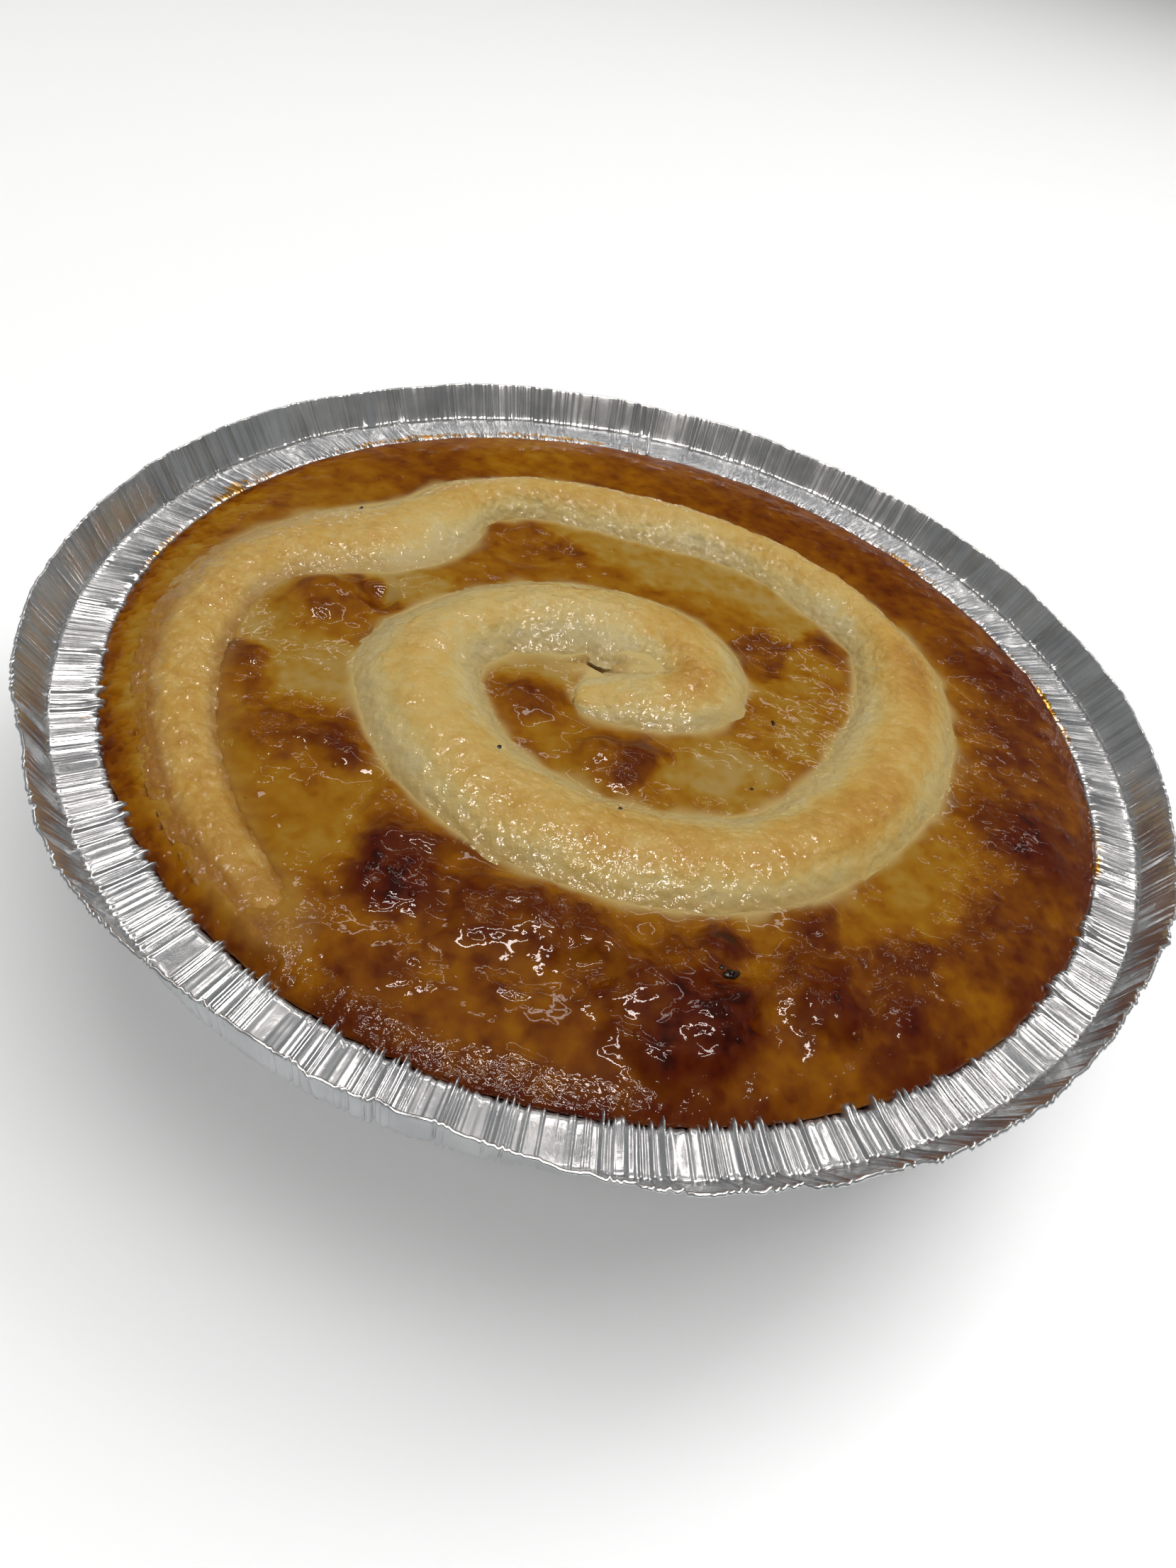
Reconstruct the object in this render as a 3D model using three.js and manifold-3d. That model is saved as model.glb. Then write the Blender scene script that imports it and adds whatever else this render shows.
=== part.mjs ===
// Coconut flan in the foil pan that it was baked in, in millimetres with +Z up.
// The origin is the middle of the pan's underside. The pan is a round 9 inch one with a flat
// crimped ledge and a thin lip that leans outwards. The custard fills it to the ledge in a low
// dome, and a rope of dough lies half sunk on it in a spiral of a little over two turns.

import * as THREE from 'three';
import { ImprovedNoise } from 'three/addons/math/ImprovedNoise.js';
import { mergeVertices } from 'three/addons/utils/BufferGeometryUtils.js';
import Module from 'manifold-3d';

const turn = 2 * Math.PI;
const degree = Math.PI / 180;
const gap = 0.3;              // left between neighbouring pieces

// Foil pan
const foil = 0.5;             // thickness of the sheet
const depth = 43;             // underside to the top of the ledge
const baseRadius = 86;        // flat of the base
const cornerRadius = 5;       // round between base and wall
const cornerSteps = 2;
const fillRadius = 104.5;     // inner edge of the ledge
const ledgeRadius = 113;      // outer edge of the ledge
const lipLength = 9;
const lipLean = 33;           // degrees outwards from upright
const leanSwing = 3;          // by how much the lean wanders
const lipSwing = 0.6;         // how far the lip's edge runs up and down
const pleats = 72;            // folds round the pan, each one ridge and one valley
const wallPleat = 0.6;        // how far a fold stands out, sideways on the wall
const cornerPleat = 0.2;      // less where the wall meets the base
const ledgePleat = 0.3;       // and upwards on the ledge
const lipPleat = 0.5;
const pleatSpread = 0.7;      // share by which the folds differ in height
const tallestPleat = 1.5;     // the highest fold over the usual one

// Places round the pan, in degrees, where handling left the lip more upright: the change of lean
const lipBends = [
  { at: -145, reach: 6, change: -10 },
  { at: -110, reach: 15, change: -24 },
  { at: -93, reach: 11, change: -14 },
  { at: -30, reach: 15, change: -16 },
  { at: -3, reach: 14, change: -10 },
  { at: 176, reach: 12, change: -9 },
];

// And the place where the ledge's outer edge was pressed out and down
const ledgeDent = { at: -108, reach: 22, out: 1.6, down: 2.2 };

// Custard: heights above the ledge
const crown = 6;              // middle of the dome
const swell = 3.2;            // how far the dome falls towards the edge
const rollOff = 3.2;          // and falls again just inside the foil
const rollPower = 18;
const custardSegments = 96;
const custardRings = 20;
const skinSwing = 0.45;       // height of the uneven skin
const skinSize = 17;          // and the width of its swells

// Lumps and hollows of the baked top, beside and between the dough
const lumps = [
  { x: -65, y: -3, radius: 9, height: 1.6 },
  { x: -55, y: 2, radius: 4, height: -1.6 },
  { x: -17, y: -18, radius: 7, height: 0.8 },
  { x: 3, y: -32, radius: 8, height: 1.3 },
  { x: -28, y: 35, radius: 8, height: -0.8 },
  { x: 30, y: 16, radius: 7, height: -0.7 },
  { x: -60, y: -46, radius: 8, height: 0.9 },
  { x: -46, y: -45, radius: 7, height: 0.9 },
  { x: -30, y: -56, radius: 9, height: 1.0 },
  { x: -28, y: -71, radius: 8, height: 1.2 },
  { x: -12, y: -74, radius: 7, height: 1.2 },
  { x: 1, y: -70, radius: 9, height: 1.5 },
  { x: 22, y: -83, radius: 13, height: 2.0 },
  { x: 45, y: -73, radius: 9, height: 1.2 },
  { x: 84, y: -20, radius: 11, height: 0.9 },
  { x: 86, y: 34, radius: 12, height: 0.8 },
];

// Dough rope: middle line as [angle in degrees, radius], from the inner tip outwards
const ropeRoute = [
  [-106, 14.6], [-72, 12.6], [-42, 14.2], [-15, 15.3], [12, 14.5], [44, 13.1], [80, 12],
  [134, 14.4], [163, 21.8], [181, 30.5], [195, 39], [206, 44.4], [235, 49.1], [261, 51.9],
  [284, 54.5], [308, 57.3], [334, 59.2], [360, 60], [393, 64], [416, 62.3], [440, 60],
  [477, 62.5], [496, 64.5], [507, 62], [518, 64.5], [527, 71.5], [538, 82], [555, 87.5],
  [572, 90], [588, 92.5], [603, 96],
];

// Its half width and the height of its middle over the custard, by share of its length
const ropeWidths = [
  [0, 5], [0.015, 7.3], [0.04, 10.3], [0.08, 11.5], [0.11, 13], [0.16, 11.8], [0.25, 11],
  [0.35, 10.3], [0.5, 10.8], [0.68, 11], [0.76, 10], [0.84, 8.8], [0.9, 7], [1, 5.5],
];
const ropeLifts = [[0, 0.6], [0.08, 1.1], [0.3, 0.9], [0.68, 0.9], [0.82, -0.2], [1, -1.2]];
// Half height over half width, and the shares of the half width on the spiral's two sides
const ropeFlatness = [[0, 0.43], [0.7, 0.43], [0.82, 0.34], [0.92, 0.3], [1, 0.28]];
const ropeInside = [
  [0, 1], [0.09, 1], [0.12, 0.82], [0.14, 0.66], [0.16, 0.74], [0.18, 0.95], [0.2, 1], [0.36, 1],
  [0.38, 1.12], [0.41, 1.2], [0.44, 1.05], [0.46, 0.86], [0.48, 0.75], [0.5, 0.66], [0.525, 0.82],
  [0.545, 0.86], [0.565, 0.72], [0.585, 0.7], [0.62, 0.86], [0.66, 0.72], [0.68, 0.56], [0.7, 0.5],
  [0.715, 0.65], [0.74, 1.1], [0.76, 1.18], [0.78, 1], [0.8, 0.8], [0.83, 0.82], [0.86, 1], [1, 1],
];
const ropeOutside = [
  [0, 0.88], [0.03, 0.95], [0.06, 1], [0.33, 1], [0.36, 0.92], [0.38, 0.76], [0.41, 0.83], [0.45, 1],
  [0.49, 1], [0.52, 0.74], [0.57, 0.74], [0.62, 0.88], [0.68, 0.95], [0.73, 1.02], [0.76, 1.3],
  [0.785, 1.34], [0.81, 1.15], [0.83, 1.05], [1, 1],
];
const ropeBendShare = 0.78;   // of the bend's radius, the most that its inner side takes up
const ropeBendProbe = 0.004;  // share of its length over which a bend is measured
const ropeSteps = 104;
const ropeCrowding = 1.35;    // over 1, the steps are closer together towards the inner tip
const ropeSides = 12;
const ropeCapSteps = 3;
const ropeUneven = 0.05;      // share by which its width wanders
const ropeWander = 12;        // and the length over which it does

// Smooth noise, with a layer of its own for each use, and how many swells some make round the pan
const noise = new ImprovedNoise();
const layers = { pleats: 1, skin: 2, edge: 4, rope: 6, lean: 8 };
const swells = { pleats: 9, edge: 5, lean: 3 };

// Unevenness round the pan, which closes on itself
function wander(angle, use) {
  const reach = swells[use];
  return noise.noise(reach * Math.cos(angle), reach * Math.sin(angle), layers[use]);
}

function bump(distance, reach) {
  return Math.exp(-((distance / reach) ** 2));
}

// Value at a place in a list of [place, value] pairs, in straight steps between them
function along(pairs, place) {
  for (let k = 1; k < pairs.length; k++) {
    const [start, low] = pairs[k - 1];
    const [end, high] = pairs[k];
    if (place <= end) {
      return THREE.MathUtils.mapLinear(Math.max(place, start), start, end, low, high);
    }
  }
  return pairs[pairs.length - 1][1];
}

// A revolved form whose outline is worked out anew at each angle
function revolve(outlineAt, segments) {
  const first = outlineAt(0);
  const geometry = new THREE.LatheGeometry(first, segments);
  const place = geometry.attributes.position;
  for (let column = 0; column <= segments; column++) {
    const angle = turn * (column % segments) / segments;
    outlineAt(angle).forEach((point, row) => {
      const x = point.x * Math.cos(angle);
      const y = point.x * Math.sin(angle);
      place.setXYZ(column * first.length + row, x, y, point.y);
    });
  }
  return geometry;
}

// The line of points moved sideways by a distance, to its right as it runs
function beside(points, distance) {
  const last = points.length - 1;
  return points.map((point, k) => {
    const end = Math.max(k, 1);
    const start = Math.min(k, last - 1);
    const run = new THREE.Vector2().subVectors(points[end], points[end - 1]).normalize();
    run.add(new THREE.Vector2().subVectors(points[start + 1], points[start]).normalize());
    const reach = 2 * distance / run.lengthSq();
    return new THREE.Vector2(point.x + run.y * reach, point.y - run.x * reach);
  });
}

// How much of a bend or dent shows at an angle round the pan
function shareOf(place, angle) {
  const away = THREE.MathUtils.euclideanModulo(angle / degree - place.at + 180, 360) - 180;
  return bump(away, place.reach);
}

function leanAt(angle) {
  let lean = lipLean + leanSwing * wander(angle, 'lean');
  for (const bend of lipBends) lean += bend.change * shareOf(bend, angle);
  return lean * degree;
}

// Upper face of the foil from the middle of the base to the edge of the lip
function foilFace(angle) {
  const fold = (1 + pleatSpread * wander(angle, 'pleats')) * Math.cos(pleats * angle);
  const face = [new THREE.Vector2(0, foil)];

  const slope = Math.atan2(fillRadius - baseRadius - cornerRadius, depth - cornerRadius);
  for (let k = 0; k <= cornerSteps; k++) {
    const swing = (Math.PI / 2 - slope) * k / cornerSteps;
    const out = cornerRadius * Math.sin(swing) + cornerPleat * fold * k / cornerSteps;
    const up = cornerRadius * (1 - Math.cos(swing));
    face.push(new THREE.Vector2(baseRadius + out, foil + up));
  }
  const foot = face[face.length - 1];
  const middle = new THREE.Vector2(fillRadius, depth).add(foot).divideScalar(2);
  middle.x += wallPleat * fold;
  face.push(middle);

  face.push(new THREE.Vector2(fillRadius + wallPleat * fold, depth - ledgePleat * fold));
  const dent = shareOf(ledgeDent, angle);
  const corner = new THREE.Vector2(
    ledgeRadius + ledgeDent.out * dent, depth - ledgeDent.down * dent);
  face.push(new THREE.Vector2(corner.x, corner.y + ledgePleat * fold));

  const lean = leanAt(angle);
  const length = lipLength + lipSwing * wander(angle, 'edge');
  face.push(new THREE.Vector2(
    corner.x + length * Math.sin(lean) + lipPleat * fold * Math.cos(lean),
    corner.y + length * Math.cos(lean) - lipPleat * fold * Math.sin(lean),
  ));
  return face;
}

function foilPan() {
  const outline = (angle) => {
    const upper = foilFace(angle);
    const lower = beside(upper, foil);
    return [...lower, ...upper.reverse()];
  };
  return revolve(outline, 2 * pleats);
}

function dome(radius) {
  const share = radius / fillRadius;
  return crown - swell * share ** 2 - rollOff * share ** rollPower;
}

// Height of the baked skin over the ledge at a point
function skin(x, y) {
  let height = dome(Math.hypot(x, y));
  height += skinSwing * noise.noise(x / skinSize, y / skinSize, layers.skin);
  for (const lump of lumps) {
    height += lump.height * bump(Math.hypot(x - lump.x, y - lump.y), lump.radius);
  }
  return height;
}

function custard() {
  const inset = gap + wallPleat * tallestPleat;
  const bottom = foil + gap;
  const edge = fillRadius - inset;
  const outline = (angle) => {
    const points = [
      new THREE.Vector2(0, bottom),
      new THREE.Vector2(baseRadius - inset, bottom),
      new THREE.Vector2(baseRadius + cornerRadius - inset, bottom + cornerRadius),
    ];
    for (let ring = custardRings; ring >= 0; ring--) {
      const radius = edge * ring / custardRings;
      const height = skin(radius * Math.cos(angle), radius * Math.sin(angle));
      points.push(new THREE.Vector2(radius, depth + height));
    }
    return points;
  };
  return revolve(outline, custardSegments);
}

// Distance from the rope's middle line to its side, positive to the right, held back on the
// inner side of a tight bend so that the rope doesn't fold into itself
function sideReach(route, share, across, halfWidth) {
  const start = Math.max(share - ropeBendProbe, 0);
  const end = Math.min(share + ropeBendProbe, 1);
  const turned = route.getTangentAt(start).cross(route.getTangentAt(end)).z;
  const reach = halfWidth * along(across > 0 ? ropeOutside : ropeInside, share);
  if (across * turned >= 0) {
    return across * reach;
  }
  const bendRadius = (end - start) * route.getLength() / Math.abs(turned);
  return across * Math.min(reach, ropeBendShare * bendRadius);
}

// The dough rope, grown all round by an allowance for the trench that it lies in
function doughRope(growth) {
  const knots = ropeRoute.map(([angle, radius]) => new THREE.Vector3(
    radius * Math.cos(angle * degree), radius * Math.sin(angle * degree), 0));
  const route = new THREE.CatmullRomCurve3(knots, false, 'centripetal');
  const length = route.getLength();
  const geometry = new THREE.CapsuleGeometry(1, length, ropeCapSteps, ropeSides, ropeSteps);
  const place = geometry.attributes.position;
  for (let n = 0; n < place.count; n++) {
    const run = place.getY(n) / length + 0.5;
    const share = THREE.MathUtils.clamp(run, 0, 1) ** ropeCrowding;
    const middle = route.getPointAt(share);
    const ahead = route.getTangentAt(share);
    const uneven = 1 + ropeUneven * noise.noise(share * length / ropeWander, 0, layers.rope);
    const halfWidth = along(ropeWidths, share) * uneven;
    const overrun = (run - THREE.MathUtils.clamp(run, 0, 1)) * length * (halfWidth + growth);
    const across = place.getX(n);
    const side = sideReach(route, share, across, halfWidth) + across * growth;
    const rise = place.getZ(n) * (along(ropeFlatness, share) * halfWidth + growth);
    const x = middle.x + ahead.x * overrun + ahead.y * side;
    const y = middle.y + ahead.y * overrun - ahead.x * side;
    const level = depth + dome(Math.hypot(middle.x, middle.y)) + along(ropeLifts, share);
    place.setXYZ(n, x, y, level + rise);
  }
  return geometry;
}

// Closed mesh for joining and cutting, with shared vertices merged
const wasm = await Module();
wasm.setup();

function solid(geometry) {
  geometry.deleteAttribute('normal');
  geometry.deleteAttribute('uv');
  const merged = mergeVertices(geometry);
  return new wasm.Manifold(new wasm.Mesh({
    numProp: 3,
    vertProperties: new Float32Array(merged.attributes.position.array),
    triVerts: new Uint32Array(merged.index.array),
  }));
}

function surface(manifold) {
  const mesh = manifold.getMesh();
  const geometry = new THREE.BufferGeometry();
  geometry.setAttribute('position', new THREE.BufferAttribute(mesh.vertProperties, 3));
  geometry.setIndex(new THREE.BufferAttribute(mesh.triVerts, 1));
  geometry.computeVertexNormals();
  return geometry;
}

const group = new THREE.Group();

function add(name, geometry, color, roughness, metalness) {
  const material = new THREE.MeshStandardMaterial({ color, roughness, metalness });
  const mesh = new THREE.Mesh(geometry, material);
  mesh.name = name;
  group.add(mesh);
}

const filling = solid(custard()).subtract(solid(doughRope(gap)));

add('foil_pan', foilPan(), 0xb9babb, 0.35, 0.95);
add('coconut_custard', surface(filling), 0x8a4c10, 0.25, 0);
add('dough_spiral', doughRope(0), 0xcdb473, 0.5, 0);

export default group;
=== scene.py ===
import math

import bpy
import numpy as np
from mathutils import Matrix, Vector


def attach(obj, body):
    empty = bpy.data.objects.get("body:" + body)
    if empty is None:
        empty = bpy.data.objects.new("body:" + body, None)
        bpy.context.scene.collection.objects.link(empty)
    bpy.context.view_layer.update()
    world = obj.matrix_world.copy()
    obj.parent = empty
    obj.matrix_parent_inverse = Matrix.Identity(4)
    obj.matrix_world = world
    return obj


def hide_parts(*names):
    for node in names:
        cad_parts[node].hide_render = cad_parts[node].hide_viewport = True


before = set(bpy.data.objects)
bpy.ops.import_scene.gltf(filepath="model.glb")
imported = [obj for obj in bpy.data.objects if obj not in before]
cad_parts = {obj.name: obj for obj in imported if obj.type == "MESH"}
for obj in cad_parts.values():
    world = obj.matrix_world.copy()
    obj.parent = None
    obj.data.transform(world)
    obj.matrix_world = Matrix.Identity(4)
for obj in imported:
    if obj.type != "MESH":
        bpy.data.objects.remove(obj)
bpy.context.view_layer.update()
mm = 0.001


# helpers for colour, nodes, meshes and noise

def toLinear(code):
    parts = [int(code[k:k + 2], 16) / 255 for k in (1, 3, 5)]
    return [p / 12.92 if p <= 0.04045 else ((p + 0.055) / 1.055) ** 2.4 for p in parts] + [1.0]


def setTones(ramp, tones):
    marks = ramp.color_ramp.elements
    while len(marks) < len(tones):
        marks.new(0.5)
    for mark, (place, code) in zip(marks, tones):
        mark.position = place
        mark.color = toLinear(code)


def setInputs(node, inputs):                         # by name, by identifier or in order
    sockets = {s.identifier: s for s in node.inputs}
    for key, value in inputs.items():
        socket = sockets[key] if key in sockets else node.inputs[key]
        if isinstance(value, bpy.types.Node):
            value = value.outputs[0]
        if isinstance(value, bpy.types.NodeSocket):
            node.id_data.links.new(value, socket)
        else:
            socket.default_value = value


def addNode(tree, kind, settings=None, inputs=None):
    node = tree.nodes.new(kind)
    for name, value in (settings or {}).items():
        setattr(node, name, value)
    setInputs(node, inputs or {})
    return node


def lookUp(known, inputs):           # a word among the inputs stands for what was made before
    found = dict(inputs) if isinstance(inputs, dict) else dict(enumerate(inputs))
    for key, value in found.items():
        name, *output = value.split(".") if isinstance(value, str) else [None]
        if name in known:
            found[key] = known[name]
            if output:
                found[key] = {s.identifier: s for s in known[name].outputs}[output[0]]
    return found


def addSteps(tree, known, steps):
    # a step is a name, a sum's operation and its terms, or a name, a node's kind, inputs, settings
    for name, kind, *rest in steps:
        if kind.isupper():
            kind, rest = "Math", (rest, {"operation": kind})
        settings = rest[1] if len(rest) > 1 else {}
        inputs = lookUp(known, rest[0])
        if "Tex" in kind and not {"Vector", "W"} & set(inputs):
            inputs["Vector"] = known["place"]
        kind = kind if "Node" in kind else "ShaderNode" + kind
        known[name] = addNode(tree, kind, settings, inputs)


rgba, eased = {"data_type": "RGBA"}, {"interpolation_type": "SMOOTHSTEP"}
vectorLayers = ("ring", "sheetOut", "toothWay", "along")


def newTree(name, values, reads, steps):             # one input for each value, typed like it
    tree = bpy.data.node_groups.new(name, "GeometryNodeTree")
    kinds = {label: {float: "Float", int: "Int"}.get(type(value), "Material")
             for label, value in values.items()}
    for label, kind in {"Geometry": "Geometry", **kinds}.items():
        tree.interface.new_socket(label, in_out="INPUT", socket_type="NodeSocket" + kind)
    tree.interface.new_socket("Geometry", in_out="OUTPUT", socket_type="NodeSocketGeometry")
    known = {s.name: s for s in tree.nodes.new("NodeGroupInput").outputs if s.name}
    known["place"] = addNode(tree, "GeometryNodeInputPosition")
    for label in reads.split():
        kind = "FLOAT_VECTOR" if label in vectorLayers else "FLOAT"
        known[label] = addNode(tree, "GeometryNodeInputNamedAttribute", {"data_type": kind},
                               {"Name": label})
    addSteps(tree, known, steps + [
        ("real", "GeometryNodeRealizeInstances", {"Geometry": steps[-1][0]}),
        ("painted", "GeometryNodeSetMaterial", {"Geometry": "real", "Material": "Material"}),
        ("end", "NodeGroupOutput", {"Geometry": "painted"})])
    return tree


def newMaterial(name, steps, inputs, reads="", tones=None):
    material = bpy.data.materials.new(name)
    material.use_nodes = True
    tree = material.node_tree
    known = {"place": addNode(tree, "ShaderNodeTexCoord").outputs["Object"]}
    for label in reads.split():
        node = addNode(tree, "ShaderNodeAttribute", {"attribute_name": label})
        known[label] = node.outputs["Fac"]
    addSteps(tree, known, steps)
    if tones:
        setTones(known["tone"], tones)
    setInputs(tree.nodes["Principled BSDF"], lookUp(known, inputs))
    return material


def runTree(base, tree, values, name=None):          # bakes a tree on a piece into a plain mesh
    modifier = base.modifiers.new(tree.name, "NODES")
    modifier.node_group = tree
    for item in tree.interface.items_tree:
        if item.in_out == "INPUT" and item.name in values:
            modifier[item.identifier] = values[item.name]
    graph = bpy.context.evaluated_depsgraph_get()
    mesh = bpy.data.meshes.new_from_object(
        base.evaluated_get(graph), preserve_all_data_layers=True, depsgraph=graph)
    base.modifiers.remove(modifier)
    if name is None:
        base.data = mesh
        return base
    return linkNew(bpy.data.objects.new(name, mesh))


def linkNew(thing):
    bpy.context.scene.collection.objects.link(thing)
    return thing


def gridFaces(rows, columns, closeRows=False):       # quads of a grid that is closed round
    r = np.arange(rows if closeRows else rows - 1)[:, None]
    c = np.arange(columns)[None, :]
    down, across = (r + 1) % rows, (c + 1) % columns
    corners = [r * columns + c, r * columns + across, down * columns + across, down * columns + c]
    return np.stack([np.broadcast_to(k, (len(r), columns)) for k in corners], -1).reshape(-1, 4)


def fanFaces(ring, pole):
    return np.stack([np.roll(ring, -1), ring, np.full(len(ring), pole)], -1)


def makePiece(name, points, faceSets, paint):
    # points in millimetres; the faces are turned outwards by the sign of the enclosed volume
    volume = 0
    for faces in faceSets:
        a = points[faces[:, 0]]
        for k in range(1, faces.shape[1] - 1):
            b, c = points[faces[:, k]], points[faces[:, k + 1]]
            volume += np.einsum("ij,ij->i", a, np.cross(b, c)).sum()
    lists = [f for faces in faceSets for f in (faces if volume > 0 else faces[:, ::-1]).tolist()]
    mesh = bpy.data.meshes.new(name)
    mesh.from_pydata((points * mm).tolist(), [], lists)
    mesh.polygons.foreach_set("use_smooth", [True] * len(mesh.polygons))
    for label, values in paint.items():
        kind = "FLOAT" if values.ndim == 1 else "FLOAT_VECTOR"
        layer = mesh.attributes.new(label, kind, "POINT")
        layer.data.foreach_set("value" if values.ndim == 1 else "vector",
                               values.astype(np.float32).ravel())
    return linkNew(bpy.data.objects.new(name, mesh))


def softNoise(x, y, size, seed):                     # smooth, about -1 to 1, swells of that width
    u, v = x / size + 200, y / size + 200
    i, j = np.floor(u), np.floor(v)
    fu, fv = u - i, v - j
    su, sv = fu * fu * (3 - 2 * fu), fv * fv * (3 - 2 * fv)

    def corner(a, b):
        mixed = np.sin((i + a) * 127.1 + (j + b) * 311.7 + seed * 74.7) * 43758.5453
        angle = 2 * np.pi * (mixed - np.floor(mixed))
        return np.cos(angle) * (fu - a) + np.sin(angle) * (fv - b)

    low = corner(0, 0) * (1 - su) + corner(1, 0) * su
    high = corner(0, 1) * (1 - su) + corner(1, 1) * su
    return 1.5 * (low * (1 - sv) + high * sv)


def roundNoise(angle, swells, seed):                 # the same round the pan, closed on itself
    return softNoise(swells * np.cos(angle), swells * np.sin(angle), 1.0, seed)


def smooth(value, start, end):
    t = np.clip((value - start) / (end - start), 0, 1)
    return t * t * (3 - 2 * t)


def bump(distance, reach):
    return np.exp(-(distance / reach) ** 2)


def finishPiece(piece, slot, *nodes):
    piece.data.polygons.foreach_set("use_smooth", [True] * len(piece.data.polygons))
    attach(piece, "root")
    if nodes:
        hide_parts(*nodes)


# camera: the photo looks down on the pan from close by, turned a little on its own axis

view = {"place": (-1.51, -200.25, 199.28), "lookDown": 43.0, "roll": 14.92, "lens": 27.05}


def addCamera():
    down, roll = math.radians(view["lookDown"]), math.radians(view["roll"])
    ahead = Vector((0, math.cos(down), -math.sin(down)))
    level, below = Vector((1, 0, 0)), Vector((0, -math.sin(down), -math.cos(down)))
    right = math.cos(roll) * level - math.sin(roll) * below
    under = math.sin(roll) * level + math.cos(roll) * below
    lens = bpy.data.cameras.new("photoCamera")
    lens.lens = view["lens"]
    lens.sensor_width = 36
    lens.clip_start = 0.01
    camera = linkNew(bpy.data.objects.new("photoCamera", lens))
    turned = Matrix((right, -under, -ahead)).transposed()
    camera.matrix_world = Matrix.Translation(Vector(view["place"]) * mm) @ turned.to_4x4()
    bpy.context.scene.camera = camera


addCamera()


# foil pan

pan = {
    "depth": 43.0, "baseRadius": 86.0, "cornerRadius": 5.0,
    "fillRadius": 104.5, "ledgeRadius": 113.0,
    "sheet": 0.2,                    # thickness drawn for foil of about 0.1
    "seamDrop": 3.4,                 # where the wall's piece ends under the ledge
    "lipLength": 9.0, "lipLean": 33.0, "leanSwing": 3.0, "lipSwing": 0.5,
    "flutter": 1.5,                  # degrees by which short stretches of the lip lean
    "beadRadius": 0.38, "beadOut": 0.26,
    "columns": 3800, "wallColumns": 1900, "creaseDepth": 0.5,
    "crimp": {
        "Folds": 430.0, "Fold Height": 0.92 * mm, "Fold Wander": 6.0, "Fold Tilt": 0.4,
        "Broad Folds": 72.0, "Broad Height": 0.4 * mm, "Dimple Height": 0.055 * mm,
        "Tooth Length": 0.8 * mm},
}
lipBends = [                         # degrees round the pan, reach, change of lean
    (-145, 6, -10), (-110, 15, -24), (-93, 11, -14), (-30, 15, -16), (-3, 14, -10), (176, 12, -9),
]
ledgeDent = {"at": -108, "reach": 22, "out": 1.6, "down": 2.2}       # the ledge's outer edge, pressed
smoothStretches = [(-41, 3.0), (-64, 1.4), (-86, 1.6), (14, 1.6), (62, 1.6), (128, 1.6), (171, 1.4),
                   (-150, 1.2), (-121, 1.4), (-111, 1.3), (-104, 1.2), (-17, 1.5)]
creases = [-170, -163, -158, -143, -131, -104, -94, -77, -58, -47, -38, -29, -21, -12, -9, -5, 7, 10,
           22, 26, 31, 36, 41, 45, 57, 71, 84, 96, 109, 119, 131, 137, 144, 149, 156, 163, 168]
greaseSpots = [(160, 106, 9, 2.6), (-152, 106.5, 1.0, 1.6), (108, 105.6, 16, 1.2), (52, 105.2, 9, 1.1),
               (20, 105.0, 14, 1.1), (135, 105.5, 12, 1.3), (-8, 105, 8, 0.9), (178, 105, 8, 0.9)]


def angleAway(angle, centre):
    return (np.degrees(angle) - centre + 180) % 360 - 180


def bendAt(before, corner, after, steps):            # rounds a corner between two points
    t = np.linspace(0, 1, steps)[:, None]
    return [(1 - t) ** 2 * b + 2 * t * (1 - t) * c + t * t * a
            for b, c, a in zip(before, corner, after)]


def sheetSides(x, z, thickness):                     # both faces of a sheet along its middle line
    dx, dz = np.gradient(x, axis=0), np.gradient(z, axis=0)
    size = np.hypot(dx, dz)
    nx, nz = -dz / size, dx / size
    half = thickness / 2
    return (x + nx * half, z + nz * half), (x - nx * half, z - nz * half), (nx, nz)


def there(upper, lower, *edge):                      # over a sheet, round its edge and back
    return np.concatenate([upper, *edge, lower[::-1]])


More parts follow.
